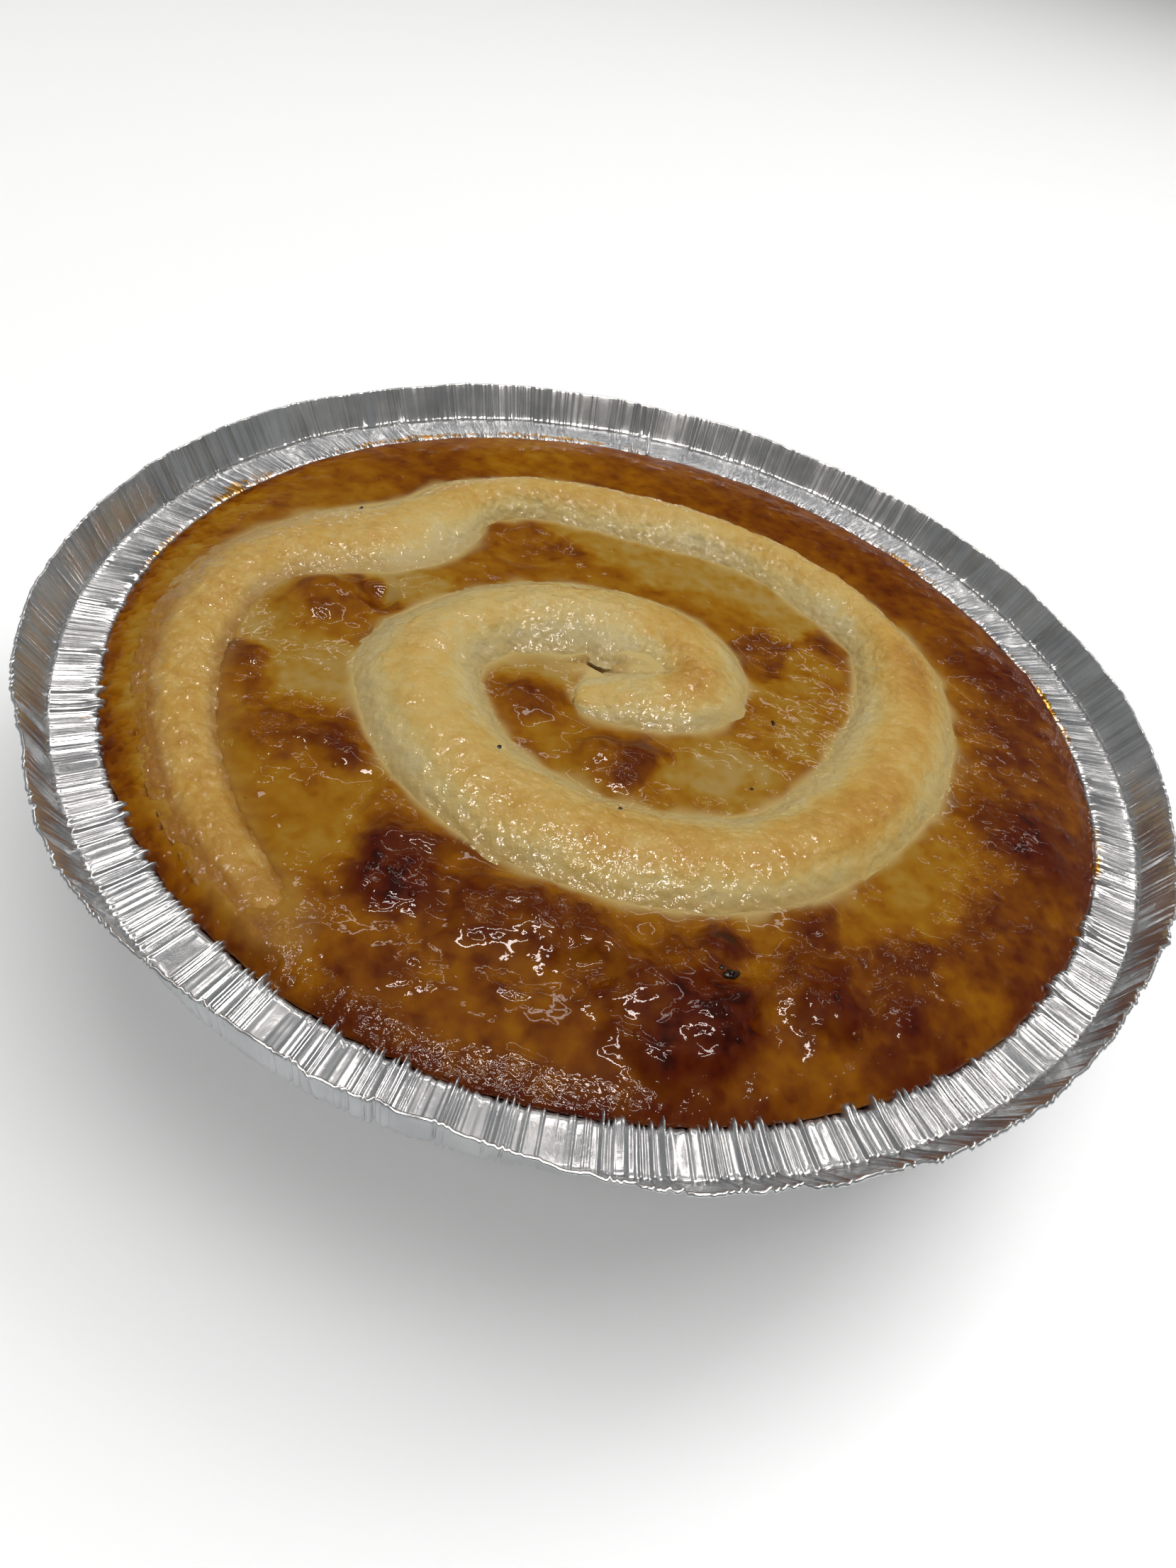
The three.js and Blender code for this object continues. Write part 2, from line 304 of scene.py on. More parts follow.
def panPiece(name, rows, normals, fine, broad, poles):
    # rows run over the sheet's upper face, round its edge and back along its lower face
    (x, z), (nx, nz) = rows, normals
    columns = x.shape[1]
    angle = np.arange(columns) * 2 * np.pi / columns
    cos, sin = np.broadcast_to(np.cos(angle), x.shape), np.broadcast_to(np.sin(angle), x.shape)
    points = np.stack([x * cos, x * sin, z], -1).reshape(-1, 3)
    calm = 1 - sum(0.9 * bump(angleAway(angle, at), reach) for at, reach in smoothStretches)
    bunches = 0.2 + 0.8 * smooth(roundNoise(angle, 42, 17), -0.35, 0.1)
    uneven = np.clip(calm, 0.1, 1) * (1 + 0.3 * roundNoise(angle, 14, 3)) * bunches
    grease = sum(bump(angleAway(angle, at), spread) * bump(x - radius, reach) * (z > 41.5)
                 for at, radius, spread, reach in greaseSpots)
    tooth = uneven * bump(x - pan["fillRadius"] - 0.2, 1.0) * smooth(z - pan["depth"], -1.8, -0.4)
    faceSets = [gridFaces(len(x), columns, not poles)]
    paint = {
        "toothWay": np.stack([-cos * tooth, -sin * tooth, 0.5 * tooth], -1).reshape(-1, 3),
        "ring": np.stack([cos, sin, 0 * cos], -1).reshape(-1, 3),
        "turnShare": np.broadcast_to(angle / (2 * np.pi), x.shape).ravel(),
        "sheetOut": np.stack([nx * cos, nx * sin, nz], -1).reshape(-1, 3),
        "fineFold": (fine[:, None] * uneven).ravel(),
        "broadFold": np.broadcast_to(broad[:, None], x.shape).ravel(),
        "grease": grease.ravel(),
    }
    if poles:
        first = np.arange(columns)
        last = first + (len(x) - 1) * columns
        faceSets += [fanFaces(first, len(points))[:, ::-1], fanFaces(last, len(points) + 1)]
        points = np.concatenate([points, [[0, 0, z[0, 0]], [0, 0, z[-1, 0]]]])
        paint = {k: np.concatenate([v, np.zeros((2,) + v.shape[1:])]) for k, v in paint.items()}
    return makePiece(name, points, faceSets, paint)


def wallSlope():
    return (pan["fillRadius"] - pan["baseRadius"] - pan["cornerRadius"]) \
        / (pan["depth"] - pan["cornerRadius"])


def rimRows():                                       # the ledge and the lip over it, row by row
    angle = np.arange(pan["columns"]) * 2 * np.pi / pan["columns"]
    one = np.ones_like(angle)
    lean = pan["lipLean"] + pan["leanSwing"] * roundNoise(angle, 3, 8)
    lean = lean + sum(change * bump(angleAway(angle, at), reach) for at, reach, change in lipBends)
    lean = lean + pan["flutter"] * (roundNoise(angle, 11, 5) + roundNoise(angle, 24, 6)
                                    + 0.8 * roundNoise(angle, 60, 7))
    lean = np.radians(lean)
    swing = roundNoise(angle, 5, 4) + 0.35 * roundNoise(angle, 45, 14)
    length = pan["lipLength"] + pan["lipSwing"] * swing
    sag = 0.25 * roundNoise(angle, 9, 12)            # the ledge isn't quite level
    drop = pan["seamDrop"]
    start = (one * (pan["fillRadius"] - drop * wallSlope()), one * (pan["depth"] - drop))
    inner = (one * pan["fillRadius"], pan["depth"] + 0 * sag)
    dent = bump(angleAway(angle, ledgeDent["at"]), ledgeDent["reach"])
    outer = (pan["ledgeRadius"] + ledgeDent["out"] * dent,
             pan["depth"] + sag - ledgeDent["down"] * dent)
    tip = (outer[0] + length * np.sin(lean), outer[1] + length * np.cos(lean))

    def between(a, b, distance):
        size = np.hypot(b[0] - a[0], b[1] - a[1])
        return tuple(p + (q - p) * distance / size for p, q in zip(a, b))

    def stretch(a, b, steps):
        t = np.linspace(0, 1, steps + 2)[1:-1, None]
        return [p + (q - p) * t for p, q in zip(a, b)]

    innerIn, innerOut = between(inner, start, 1.1), between(inner, outer, 1.3)
    outerIn, outerOut = between(outer, inner, 1.4), between(outer, tip, 1.2)
    parts = [[p[None] for p in start], stretch(start, innerIn, 1), bendAt(innerIn, inner, innerOut, 5),
             stretch(innerOut, outerIn, 3), bendAt(outerIn, outer, outerOut, 5),
             stretch(outerOut, tip, 4), [p[None] for p in tip]]
    x, z = (np.concatenate([part[k] for part in parts]) for k in (0, 1))
    upper, lower, (nx, nz) = sheetSides(x, z, pan["sheet"])
    fine = np.array([0.5, 0.6, 0.7, 1.0, 1.25, 1.2, 1.0, 0.8, 0.75, 0.75,
                     0.85, 0.95, 0.9, 0.85, 0.75, 0.7, 0.65, 0.6, 0.55, 0.5])
    broad = np.array([0.6, 0.5] + [0.4, 0.35, 0.3, 0.25, 0.25] + [0.25] * 3
                     + [0.25, 0.3, 0.4, 0.45, 0.5] + [0.5, 0.55, 0.6, 0.6] + [0.65])
    return x, z, nx, nz, upper, lower, fine, broad


def lipMarks(rowShare):                              # creases, each leaning a little to one side
    angle = np.arange(pan["columns"]) * 2 * np.pi / pan["columns"]
    marks = np.zeros((len(rowShare), len(angle)))
    for k, at in enumerate(creases):
        slant = 0.8 * math.sin(k * 2.4) * rowShare[:, None]
        marks -= (0.5 + 0.5 * math.sin(k * 1.7)) * bump(angleAway(angle, at) - slant, 0.3)
    return marks * pan["creaseDepth"] * smooth(rowShare, 0.0, 0.4)[:, None]


def ledgeAndLip():
    x, z, nx, nz, upper, lower, fine, broad = rimRows()
    split = 12                                       # the row in the middle of the outer corner
    ledge, lip = slice(0, split + 1), slice(split, None)
    weights = [there(w[ledge], w[ledge]) for w in (fine, broad)]
    yield ("foilPanLedge", [there(u[ledge], w[ledge]) for u, w in zip(upper, lower)],
           [there(n[ledge], n[ledge]) for n in (nx, nz)], *weights)
    marks = lipMarks(np.linspace(0, 1, len(x) - split))
    turn = np.linspace(0.15, 1, 7)[:-1, None] * np.pi            # the hem rolled at the edge
    cos, sin = pan["beadRadius"] * np.cos(turn), pan["beadRadius"] * np.sin(turn)
    tx, tz = nx[-1:], nz[-1:]
    bead = [x[-1:] - tx * pan["beadOut"] + tx * cos + tz * sin,
            z[-1:] - tz * pan["beadOut"] + tz * cos - tx * sin]
    rows = [there(u[lip] + n[lip] * marks, w[lip] + n[lip] * marks, b + n[-1:] * marks[-1:])
            for u, b, w, n in zip(upper, bead, lower, (nx, nz))]
    normals = [there(n[lip], n[lip], np.repeat(n[-1:], len(turn), 0)) for n in (nx, nz)]
    weights = [there(w[lip], w[lip], w[-1] * np.ones(len(turn))) for w in (fine, broad)]
    yield "foilPanLip", rows, normals, *weights


def bodyRows():
    one = np.ones(pan["wallColumns"])
    half = pan["sheet"] / 2
    swing = np.linspace(0, np.pi / 2 - math.atan(wallSlope()), 5)
    corner = [(pan["baseRadius"] + pan["cornerRadius"] * math.sin(a),
               half + pan["cornerRadius"] * (1 - math.cos(a))) for a in swing]
    top = (pan["fillRadius"] - pan["seamDrop"] * wallSlope(), pan["depth"] - pan["seamDrop"])
    wall = [tuple(c + (t - c) * k / 6 for c, t in zip(corner[-1], top)) for k in range(1, 7)]
    line = np.array([(2, half), (45, half), (80, half)] + corner + wall)
    upper, lower, sides = sheetSides(line[:, :1] * one, line[:, 1:] * one, pan["sheet"])
    fine = np.array([0, 0, 0, 0, 0.06, 0.2, 0.4, 0.55, 0.62, 0.64, 0.64, 0.62, 0.56, 0.5])
    broad = np.array([0, 0, 0, 0, 0.1, 0.3, 0.6, 0.9, 1, 1, 1, 0.9, 0.8, 0.6])
    rows = [there(u, w) for u, w in zip(upper, lower)]
    return rows, [there(n, n) for n in sides], there(fine, fine), there(broad, broad)


crimpSteps = [                       # the folds run across the sheet, round the pan's turn
    ("warp", "TexNoise", {"Vector": "ring", "Scale": 21.0, "Detail": 3.0}),
    ("off", "SUBTRACT", "warp", 0.5), ("shift", "MULTIPLY", "off", "Fold Wander"),
    ("phase", "MULTIPLY_ADD", "turnShare", "Folds", "shift"),
    ("turn", "MULTIPLY", "phase", math.pi), ("wave", "SINE", "turn"), ("ridge", "ABSOLUTE", "wave"),
    ("crest", "POWER", "ridge", 4.0), ("number", "FLOOR", "phase"),
    ("which", "FLOORED_MODULO", "number", "Folds"), ("whichToo", "ADD", "which", 0.37),
    ("own", "TexWhiteNoise", {"W": "which"}, {"noise_dimensions": "1D"}),
    ("other", "TexWhiteNoise", {"W": "whichToo"}, {"noise_dimensions": "1D"}),
    ("tall", "MULTIPLY_ADD", "own", 1.1, 0.25), ("part", "FRACT", "phase"),
    ("fromMiddle", "SUBTRACT", "part", 0.5), ("leaning", "SUBTRACT", "other", 0.5),
    ("lean", "MULTIPLY", "leaning", "Fold Tilt"), ("tilt", "MULTIPLY", "fromMiddle", "lean"),
    ("upright", "MULTIPLY_ADD", "crest", "tall", -0.3), ("fold", "ADD", "upright", "tilt"),
    ("shown", "MULTIPLY", "fold", "fineFold"), ("fine", "MULTIPLY", "shown", "Fold Height"),
    ("slow", "TexNoise", {"Vector": "ring", "Scale": 6.0, "Detail": 2.0}),
    ("wander", "MULTIPLY", "slow", 9.0), ("broadTurn", "MULTIPLY", "Broad Folds", 2 * math.pi),
    ("broadPhase", "MULTIPLY_ADD", "turnShare", "broadTurn", "wander"),
    ("broadWave", "COSINE", "broadPhase"), ("broadShown", "MULTIPLY", "broadWave", "broadFold"),
    ("broadTall", "MULTIPLY", "Broad Height", "slow"), ("broad", "MULTIPLY", "broadShown", "broadTall"),
    ("dents", "TexNoise", {"Scale": 1 / 0.0021, "Detail": 2.0}),
    ("dent", "SUBTRACT", "dents", 0.5), ("deep", "MULTIPLY", "Dimple Height", 2.0),
    ("dimple", "MULTIPLY", "dent", "deep"), ("folds", "ADD", "fine", "broad"),
    ("rise", "ADD", "folds", "dimple"),
    ("out", "VectorMath", {"Vector": "sheetOut", "Scale": "rise"}, {"operation": "SCALE"}),
    ("blunt", "POWER", "crest", 0.5), ("bite", "MULTIPLY", "blunt", "tall"),
    ("long", "MULTIPLY", "bite", "Tooth Length"),
    ("tooth", "VectorMath", {"Vector": "toothWay", "Scale": "long"}, {"operation": "SCALE"}),
    ("both", "VectorMath", ["out", "tooth"], {"operation": "ADD"}),
    ("moved", "GeometryNodeSetPosition", {"Geometry": "Geometry", "Offset": "both"}),
]


def crimpedAluminium():
    # soft aluminium foil, cold rolled and crimped: bright, faintly brushed, and tinted by grease
    # where the filling met it; its hammered skin scatters a part of the light
    return newMaterial("crimpedAluminium", [
        ("cloudy", "TexNoise", {"Scale": 1 / 0.009, "Detail": 4.0}),
        ("tone", "ValToRGB", {"Fac": "cloudy"}),
        ("spots", "TexNoise", {"Scale": 1 / 0.0022, "Detail": 2.0}),
        ("wet", "MULTIPLY", "grease", "spots"), ("where", "MapRange", ["wet", 0.3, 0.55]),
        ("colour", "Mix", {"Factor_Float": "where", "A_Color": "tone",
                           "B_Color": toLinear("#b98a35")}, rgba),
        ("rough", "MapRange", {"Value": "cloudy", "To Min": 0.16, "To Max": 0.3}),
        ("creased", "TexNoise", {"Scale": 1 / 0.0011, "Detail": 3.0, "Distortion": 0.6}),
        ("relief", "Bump", {"Height": "creased", "Distance": 0.00004, "Strength": 0.7}),
    ], {"Metallic": 0.9, "Base Color": "colour.Result_Color", "Roughness": "rough", "Normal": "relief"},
        "grease", [(0.3, "#b4b7ba"), (0.7, "#cdd0d1")])


def makePan():
    values = {**pan["crimp"], "Material": crimpedAluminium()}
    reads = "ring turnShare fineFold broadFold sheetOut toothWay"
    tree = newTree("crimpFoil", values, reads, crimpSteps)
    for name, *shape in [*ledgeAndLip(), ("foilPanBody", *bodyRows())]:
        piece = panPiece(name, *shape, name == "foilPanBody")
        runTree(piece, tree, values)
        finishPiece(piece, "foil", "foil_pan")
        print("made", name, len(piece.data.polygons), "faces")


makePan()


# dough rope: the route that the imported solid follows, and what shows on it

rope = {
    "route": [                       # [degrees round the pan, distance from its middle]
        (-106, 14.6), (-72, 12.6), (-42, 14.2), (-15, 15.3), (12, 14.5), (44, 13.1), (80, 12),
        (134, 14.4), (163, 21.8), (181, 30.5), (195, 39), (206, 44.4), (235, 49.1), (261, 51.9),
        (284, 54.5), (308, 57.3), (334, 59.2), (360, 60), (393, 64), (416, 62.3), (440, 60),
        (477, 62.5), (496, 64.5), (507, 62), (518, 64.5), (527, 71.5), (538, 82), (555, 87.5),
        (572, 90), (588, 92.5), (603, 96)],
    "widths": [                      # share of its length, half width
        (0, 4.2), (0.015, 7.0), (0.04, 10.3), (0.08, 11.5), (0.11, 13), (0.16, 11.8), (0.25, 11),
        (0.35, 10.3), (0.5, 10.8), (0.68, 11), (0.76, 10), (0.84, 8.8), (0.9, 7), (1, 5.5)],
    "lifts": [(0, -0.8), (0.02, 0.5), (0.08, 1.1), (0.3, 0.9), (0.68, 0.9), (0.82, -0.2), (1, -1.2)],
    "inside": [                      # share of its length, how much of its width lies on the inner side
        (0, 1.8), (0.012, 1.35), (0.03, 1), (0.094, 1), (0.1, 0.93), (0.106, 0.78), (0.112, 0.84),
        (0.12, 0.82), (0.14, 0.66), (0.16, 0.74), (0.18, 0.95), (0.2, 1), (0.36, 1),
        (0.38, 1.12), (0.41, 1.2), (0.44, 1.05), (0.46, 0.86), (0.48, 0.75), (0.5, 0.66), (0.525, 0.82),
        (0.545, 0.86), (0.565, 0.72), (0.585, 0.7), (0.62, 0.86), (0.66, 0.72), (0.68, 0.56),
        (0.7, 0.5), (0.715, 0.65), (0.74, 1.1), (0.76, 1.18), (0.78, 1), (0.8, 0.8), (0.83, 0.82),
        (0.86, 1), (1, 1)],
    "outside": [
        (0, 1.05), (0.03, 0.95), (0.06, 1), (0.33, 1), (0.36, 0.92), (0.38, 0.76), (0.41, 0.83), (0.45, 1),
        (0.49, 1), (0.52, 0.74), (0.57, 0.74), (0.62, 0.88), (0.68, 0.95), (0.73, 1.02), (0.76, 1.3),
        (0.785, 1.34), (0.81, 1.15), (0.83, 1.05), (1, 1)],
    # where the first two turns have run together, x, y and slenderness, and what stays open there
    "welds": [(3.5, 0.2, 0.34, 0.7), (-4.5, -4.6, 0.42, 0.8)], "weldReach": 3.0, "weldLift": 0.27,
    "crevice": [(-9, -1.2), (-6.2, -2.4), (-2.6, -4.4), (1.4, -4.4)],
    "creviceWidth": 0.95, "creviceDepth": 2.6,
    "ease": 3.0,                     # its bends are rounded over this length
    # half height over half width
    "flatness": [(0, 0.43), (0.7, 0.43), (0.82, 0.34), (0.92, 0.3), (1, 0.28)],
    "bendShare": 0.68, "bendProbe": 0.006,
    "flare": 1.2, "bell": 1.3, "sunk": 0.25,         # its flanks run out flat into the custard
    "contact": 1.1, "creep": 0.22,   # share of its half width where the custard meets it, less late on
    "rows": 1150, "over": 62, "under": 18, "capRows": 9,
    "relief": {
        "Swell Size": 9.0 * mm, "Swell Height": 0.75 * mm, "Grain Size": 1.8 * mm,
        "Grain Height": 0.46 * mm, "Pore Size": 5.0 * mm, "Pore Depth": 0.12 * mm,
        "Wrinkle Height": 0.06 * mm, "Crust Size": 2.4 * mm, "Crust Height": 0.55 * mm},
}


def pairValue(pairs, share):
    return np.interp(share, [p[0] for p in pairs], [p[1] for p in pairs])


def domeHeight(radius):
    share = radius / pan["fillRadius"]
    return pan["depth"] + custard["crown"] - custard["swell"] * share ** 2 \
        - custard["rollOff"] * share ** custard["rollPower"]


def lengthAlong(line):
    return np.concatenate([[0], np.cumsum(np.hypot(*np.diff(line, axis=0).T))])


def routeLine():                                     # centripetal curve through the route's points
    knots = np.array([[r * math.cos(math.radians(a)), r * math.sin(math.radians(a))]
                      for a, r in rope["route"]])
    ends = np.concatenate([[2 * knots[0] - knots[1]], knots, [2 * knots[-1] - knots[-2]]])
    line = []
    t = np.linspace(0, 1, 60, endpoint=False)[:, None]
    for p0, p1, p2, p3 in zip(ends, ends[1:], ends[2:], ends[3:]):
        d0, d1, d2 = (max(np.linalg.norm(b - a) ** 0.5, 1e-6)
                      for a, b in ((p0, p1), (p1, p2), (p2, p3)))
        m1 = ((p1 - p0) / d0 - (p2 - p0) / (d0 + d1) + (p2 - p1) / d1) * d1
        m2 = ((p2 - p1) / d1 - (p3 - p1) / (d1 + d2) + (p3 - p2) / d2) * d1
        line.append(p1 + m1 * t + (-3 * p1 + 3 * p2 - 2 * m1 - m2) * t ** 2
                    + (2 * p1 - 2 * p2 + m1 + m2) * t ** 3)
    line = np.concatenate(line + [knots[-1:]])
    run = lengthAlong(line)
    even = np.linspace(0, run[-1], 1500)
    line = np.stack([np.interp(even, run, line[:, k]) for k in (0, 1)], -1)
    reach = int(2.5 * rope["ease"] / even[1])
    kernel = bump(even[1] * np.arange(-reach, reach + 1), 1.41 * rope["ease"])
    before, after = 2 * line[:1] - line[reach:0:-1], 2 * line[-1:] - line[-2:-reach - 2:-1]
    line = np.concatenate([before, line, after])
    line = np.stack([np.convolve(line[:, k], kernel / kernel.sum(), "valid") for k in (0, 1)], -1)
    return line, lengthAlong(line)


def ropeAt(share):
    line, run = routeLine()
    total = run[-1]
    heading = np.unwrap(np.arctan2(np.gradient(line[:, 1], run), np.gradient(line[:, 0], run)))
    at = share * total
    middle = np.stack([np.interp(at, run, line[:, k]) for k in (0, 1)], -1)
    turn = np.interp(at, run, heading)
    start = np.maximum(share - rope["bendProbe"], 0) * total
    end = np.minimum(share + rope["bendProbe"], 1) * total
    turned = np.sin(np.interp(end, run, heading) - np.interp(start, run, heading))
    half = pairValue(rope["widths"], share)
    held = rope["bendShare"] * (end - start) / np.maximum(np.abs(turned), 1e-6)
    left = np.minimum(half * pairValue(rope["inside"], share), np.where(turned > 0, held, np.inf))
    right = np.minimum(half * pairValue(rope["outside"], share), np.where(turned < 0, held, np.inf))
    level = domeHeight(np.hypot(*middle.T)) + pairValue(rope["lifts"], share)
    tall = half * pairValue(rope["flatness"], share)
    return {"middle": middle, "heading": turn, "half": half, "left": left, "right": right,
            "level": level, "tall": tall, "total": total, "share": share}


# custard: the same dome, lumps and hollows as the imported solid, with the baked skin on them

custard = {
    "crown": 6.0, "swell": 3.2, "rollOff": 3.2, "rollPower": 18,
    "cells": 305, "edge": 104.3, "edgeSwing": 0.4,
    "lumps": [                       # x, y, radius, height
        (-65, -3, 9, 1.6), (-55, 2, 4, -1.6), (-17, -18, 7, 0.8), (3, -32, 8, 1.3), (-28, 35, 8, -0.8),
        (30, 16, 7, -0.7), (-60, -46, 8, 0.9), (-46, -45, 7, 0.9), (-30, -56, 9, 1.0),
        (-28, -71, 8, 1.2), (-12, -74, 7, 1.2), (1, -70, 9, 1.5), (22, -83, 13, 2.0),
        (45, -73, 9, 1.2), (84, -20, 11, 0.9), (86, 34, 12, 0.8)],
    "smallLumps": [
        (27, -68, 3.5, 0.9), (43, -57, 4.5, 0.8), (-34, -66, 4, 0.7), (-24, -62, 4, 0.6),
        (-38, -74, 4, 0.6), (-8, -68, 4, 0.7), (6, -74, 4, 0.7), (-3, -78, 5, 0.6), (14, -80, 5, 0.6),
        (28, -84, 6, 0.8), (33, -78, 4, 0.5), (47, -76, 5, 0.6), (53, -70, 4, -0.4), (60, -72, 5, 0.4),
        (66, -58, 5, 0.5), (8, -27, 4, 0.6), (-2, -30, 4, 0.7), (-66, -1, 5, 0.5), (-52, -43, 4, 0.5),
        (-44, -48, 4, 0.5), (-72, -27, 4, 0.6), (-50, 14, 4, 0.5), (30, 27, 4, 0.4), (44, 26, 4, 0.5)],
    "fillet": 1.5, "slope": 3.2,     # how far the custard climbs, or falls, towards the dough
    "syrupHeight": 0.42, "syrupWidth": 0.85,
    "sides": [(103.4, 41.6), (102.0, 38.0), (90.2, 5.8), (85.0, 0.6)],   # radius, height, in the pan
    "relief": {
        "Swell Size": 10.0 * mm, "Swell Height": 0.22 * mm, "Lump Size": 3.2 * mm,
        "Lump Height": 0.85 * mm, "Rough Size": 1.6 * mm, "Rough Height": 0.24 * mm,
        "Blister Size": 4.0 * mm, "Blister Height": 0.4 * mm, "Crumb Size": 1.7 * mm,
        "Crumb Depth": 0.75 * mm},
    "drops": {"Per Square Metre": 16000.0, "Smallest": 0.35 * mm, "Largest": 1.4 * mm, "Seed": 4},
}
syrupLines = [                      # where syrup stands in a thin raised line, x and y along it
    [(8.2, -86.7), (12, -89.9), (19.2, -92.6), (27.3, -91.6), (35.7, -87.2)],
    [(-9, -86.6), (-4.5, -87.6), (1.7, -86.2)], [(2.7, -61.8), (6, -65.1), (11.2, -68.9)],
    [(25.5, -65.4), (31.5, -60.7)], [(53.4, -69.6), (57.4, -66.3), (62, -62.7)],
    [(52.1, -60.4), (54.3, -63.1)], [(38.8, -70.6), (43.7, -74.2)], [(53.2, -75.1), (50.6, -78.2)],
    [(27.5, -73.8), (30.6, -75.7)], [(-21.9, -89.2), (-18.2, -90), (-16, -89.2)],
    [(20.4, -72.6), (22.1, -74.6)], [(34.2, -72.2), (37.2, -75.2)], [(-11.6, -60.6), (-8.1, -62.9)],
    [(-21.4, -85.2), (-19.3, -87.2)], [(-5.6, -41.4), (-1, -41.9), (3.4, -40.2)],
    [(-7.2, -37.8), (-2.5, -34.6)], [(-40, -83), (-34, -85.5)], [(-4, -97.5), (4, -98.6)],
]
wetClusters = [                      # x, y, radius and how rough the wet skin's small lumps stand
    (-31, -72, 7, 1.0), (-24, -78, 5, 0.7), (-20, -88, 5, 0.9), (-12, -74, 5, 0.9), (-1, -70, 8, 1.0),
    (4, -80, 5, 0.6), (-6, -86, 4, 0.8), (14, -78, 6, 0.8), (10, -86, 5, 0.5), (22, -70, 4, 0.7),
    (30, -84, 6, 1.0), (22, -88, 4, 0.5), (34, -74, 4, 0.7), (44, -72, 7, 1.0), (46, -80, 5, 0.8),
    (56, -66, 7, 0.8), (60, -58, 5, 0.8), (43, -57, 4, 0.6), (68, -62, 4, 0.5), (-38, -80, 5, 0.6),
    (-46, -72, 4, 0.5), (-36, -60, 5, 0.6), (-25, -62, 5, 0.6), (-47, -45, 5, 0.7), (-62, -43, 7, 1.0),
    (-52, -50, 4, 0.5), (-71, -29, 5, 0.8), (-60, -52, 5, 0.6), (-66, -12, 5, 0.6), (3, -33, 6, 0.8),
    (10, -40, 4, 0.5), (-20, -18, 4, 0.3), (22, -38, 4, 0.5), (30, -8, 4, 0.3), (30, 18, 6, 0.55),
    (-28, 36, 7, 0.35), (82, -12, 7, 0.7), (78, -30, 7, 0.8), (74, -45, 7, 0.8), (86, 30, 8, 0.45),
    (80, 14, 6, 0.55), (84, -46, 5, 0.5), (88, -28, 5, 0.5), (-58, 60, 8, 0.3), (30, 84, 12, 0.3),
    (50, -84, 5, 0.4), (20, -98, 6, 0.6), (-10, -94, 4, 0.3), (65, -76, 5, 0.4), (-5, -64, 4, 0.5),
    (52, -46, 4, 0.4),
]
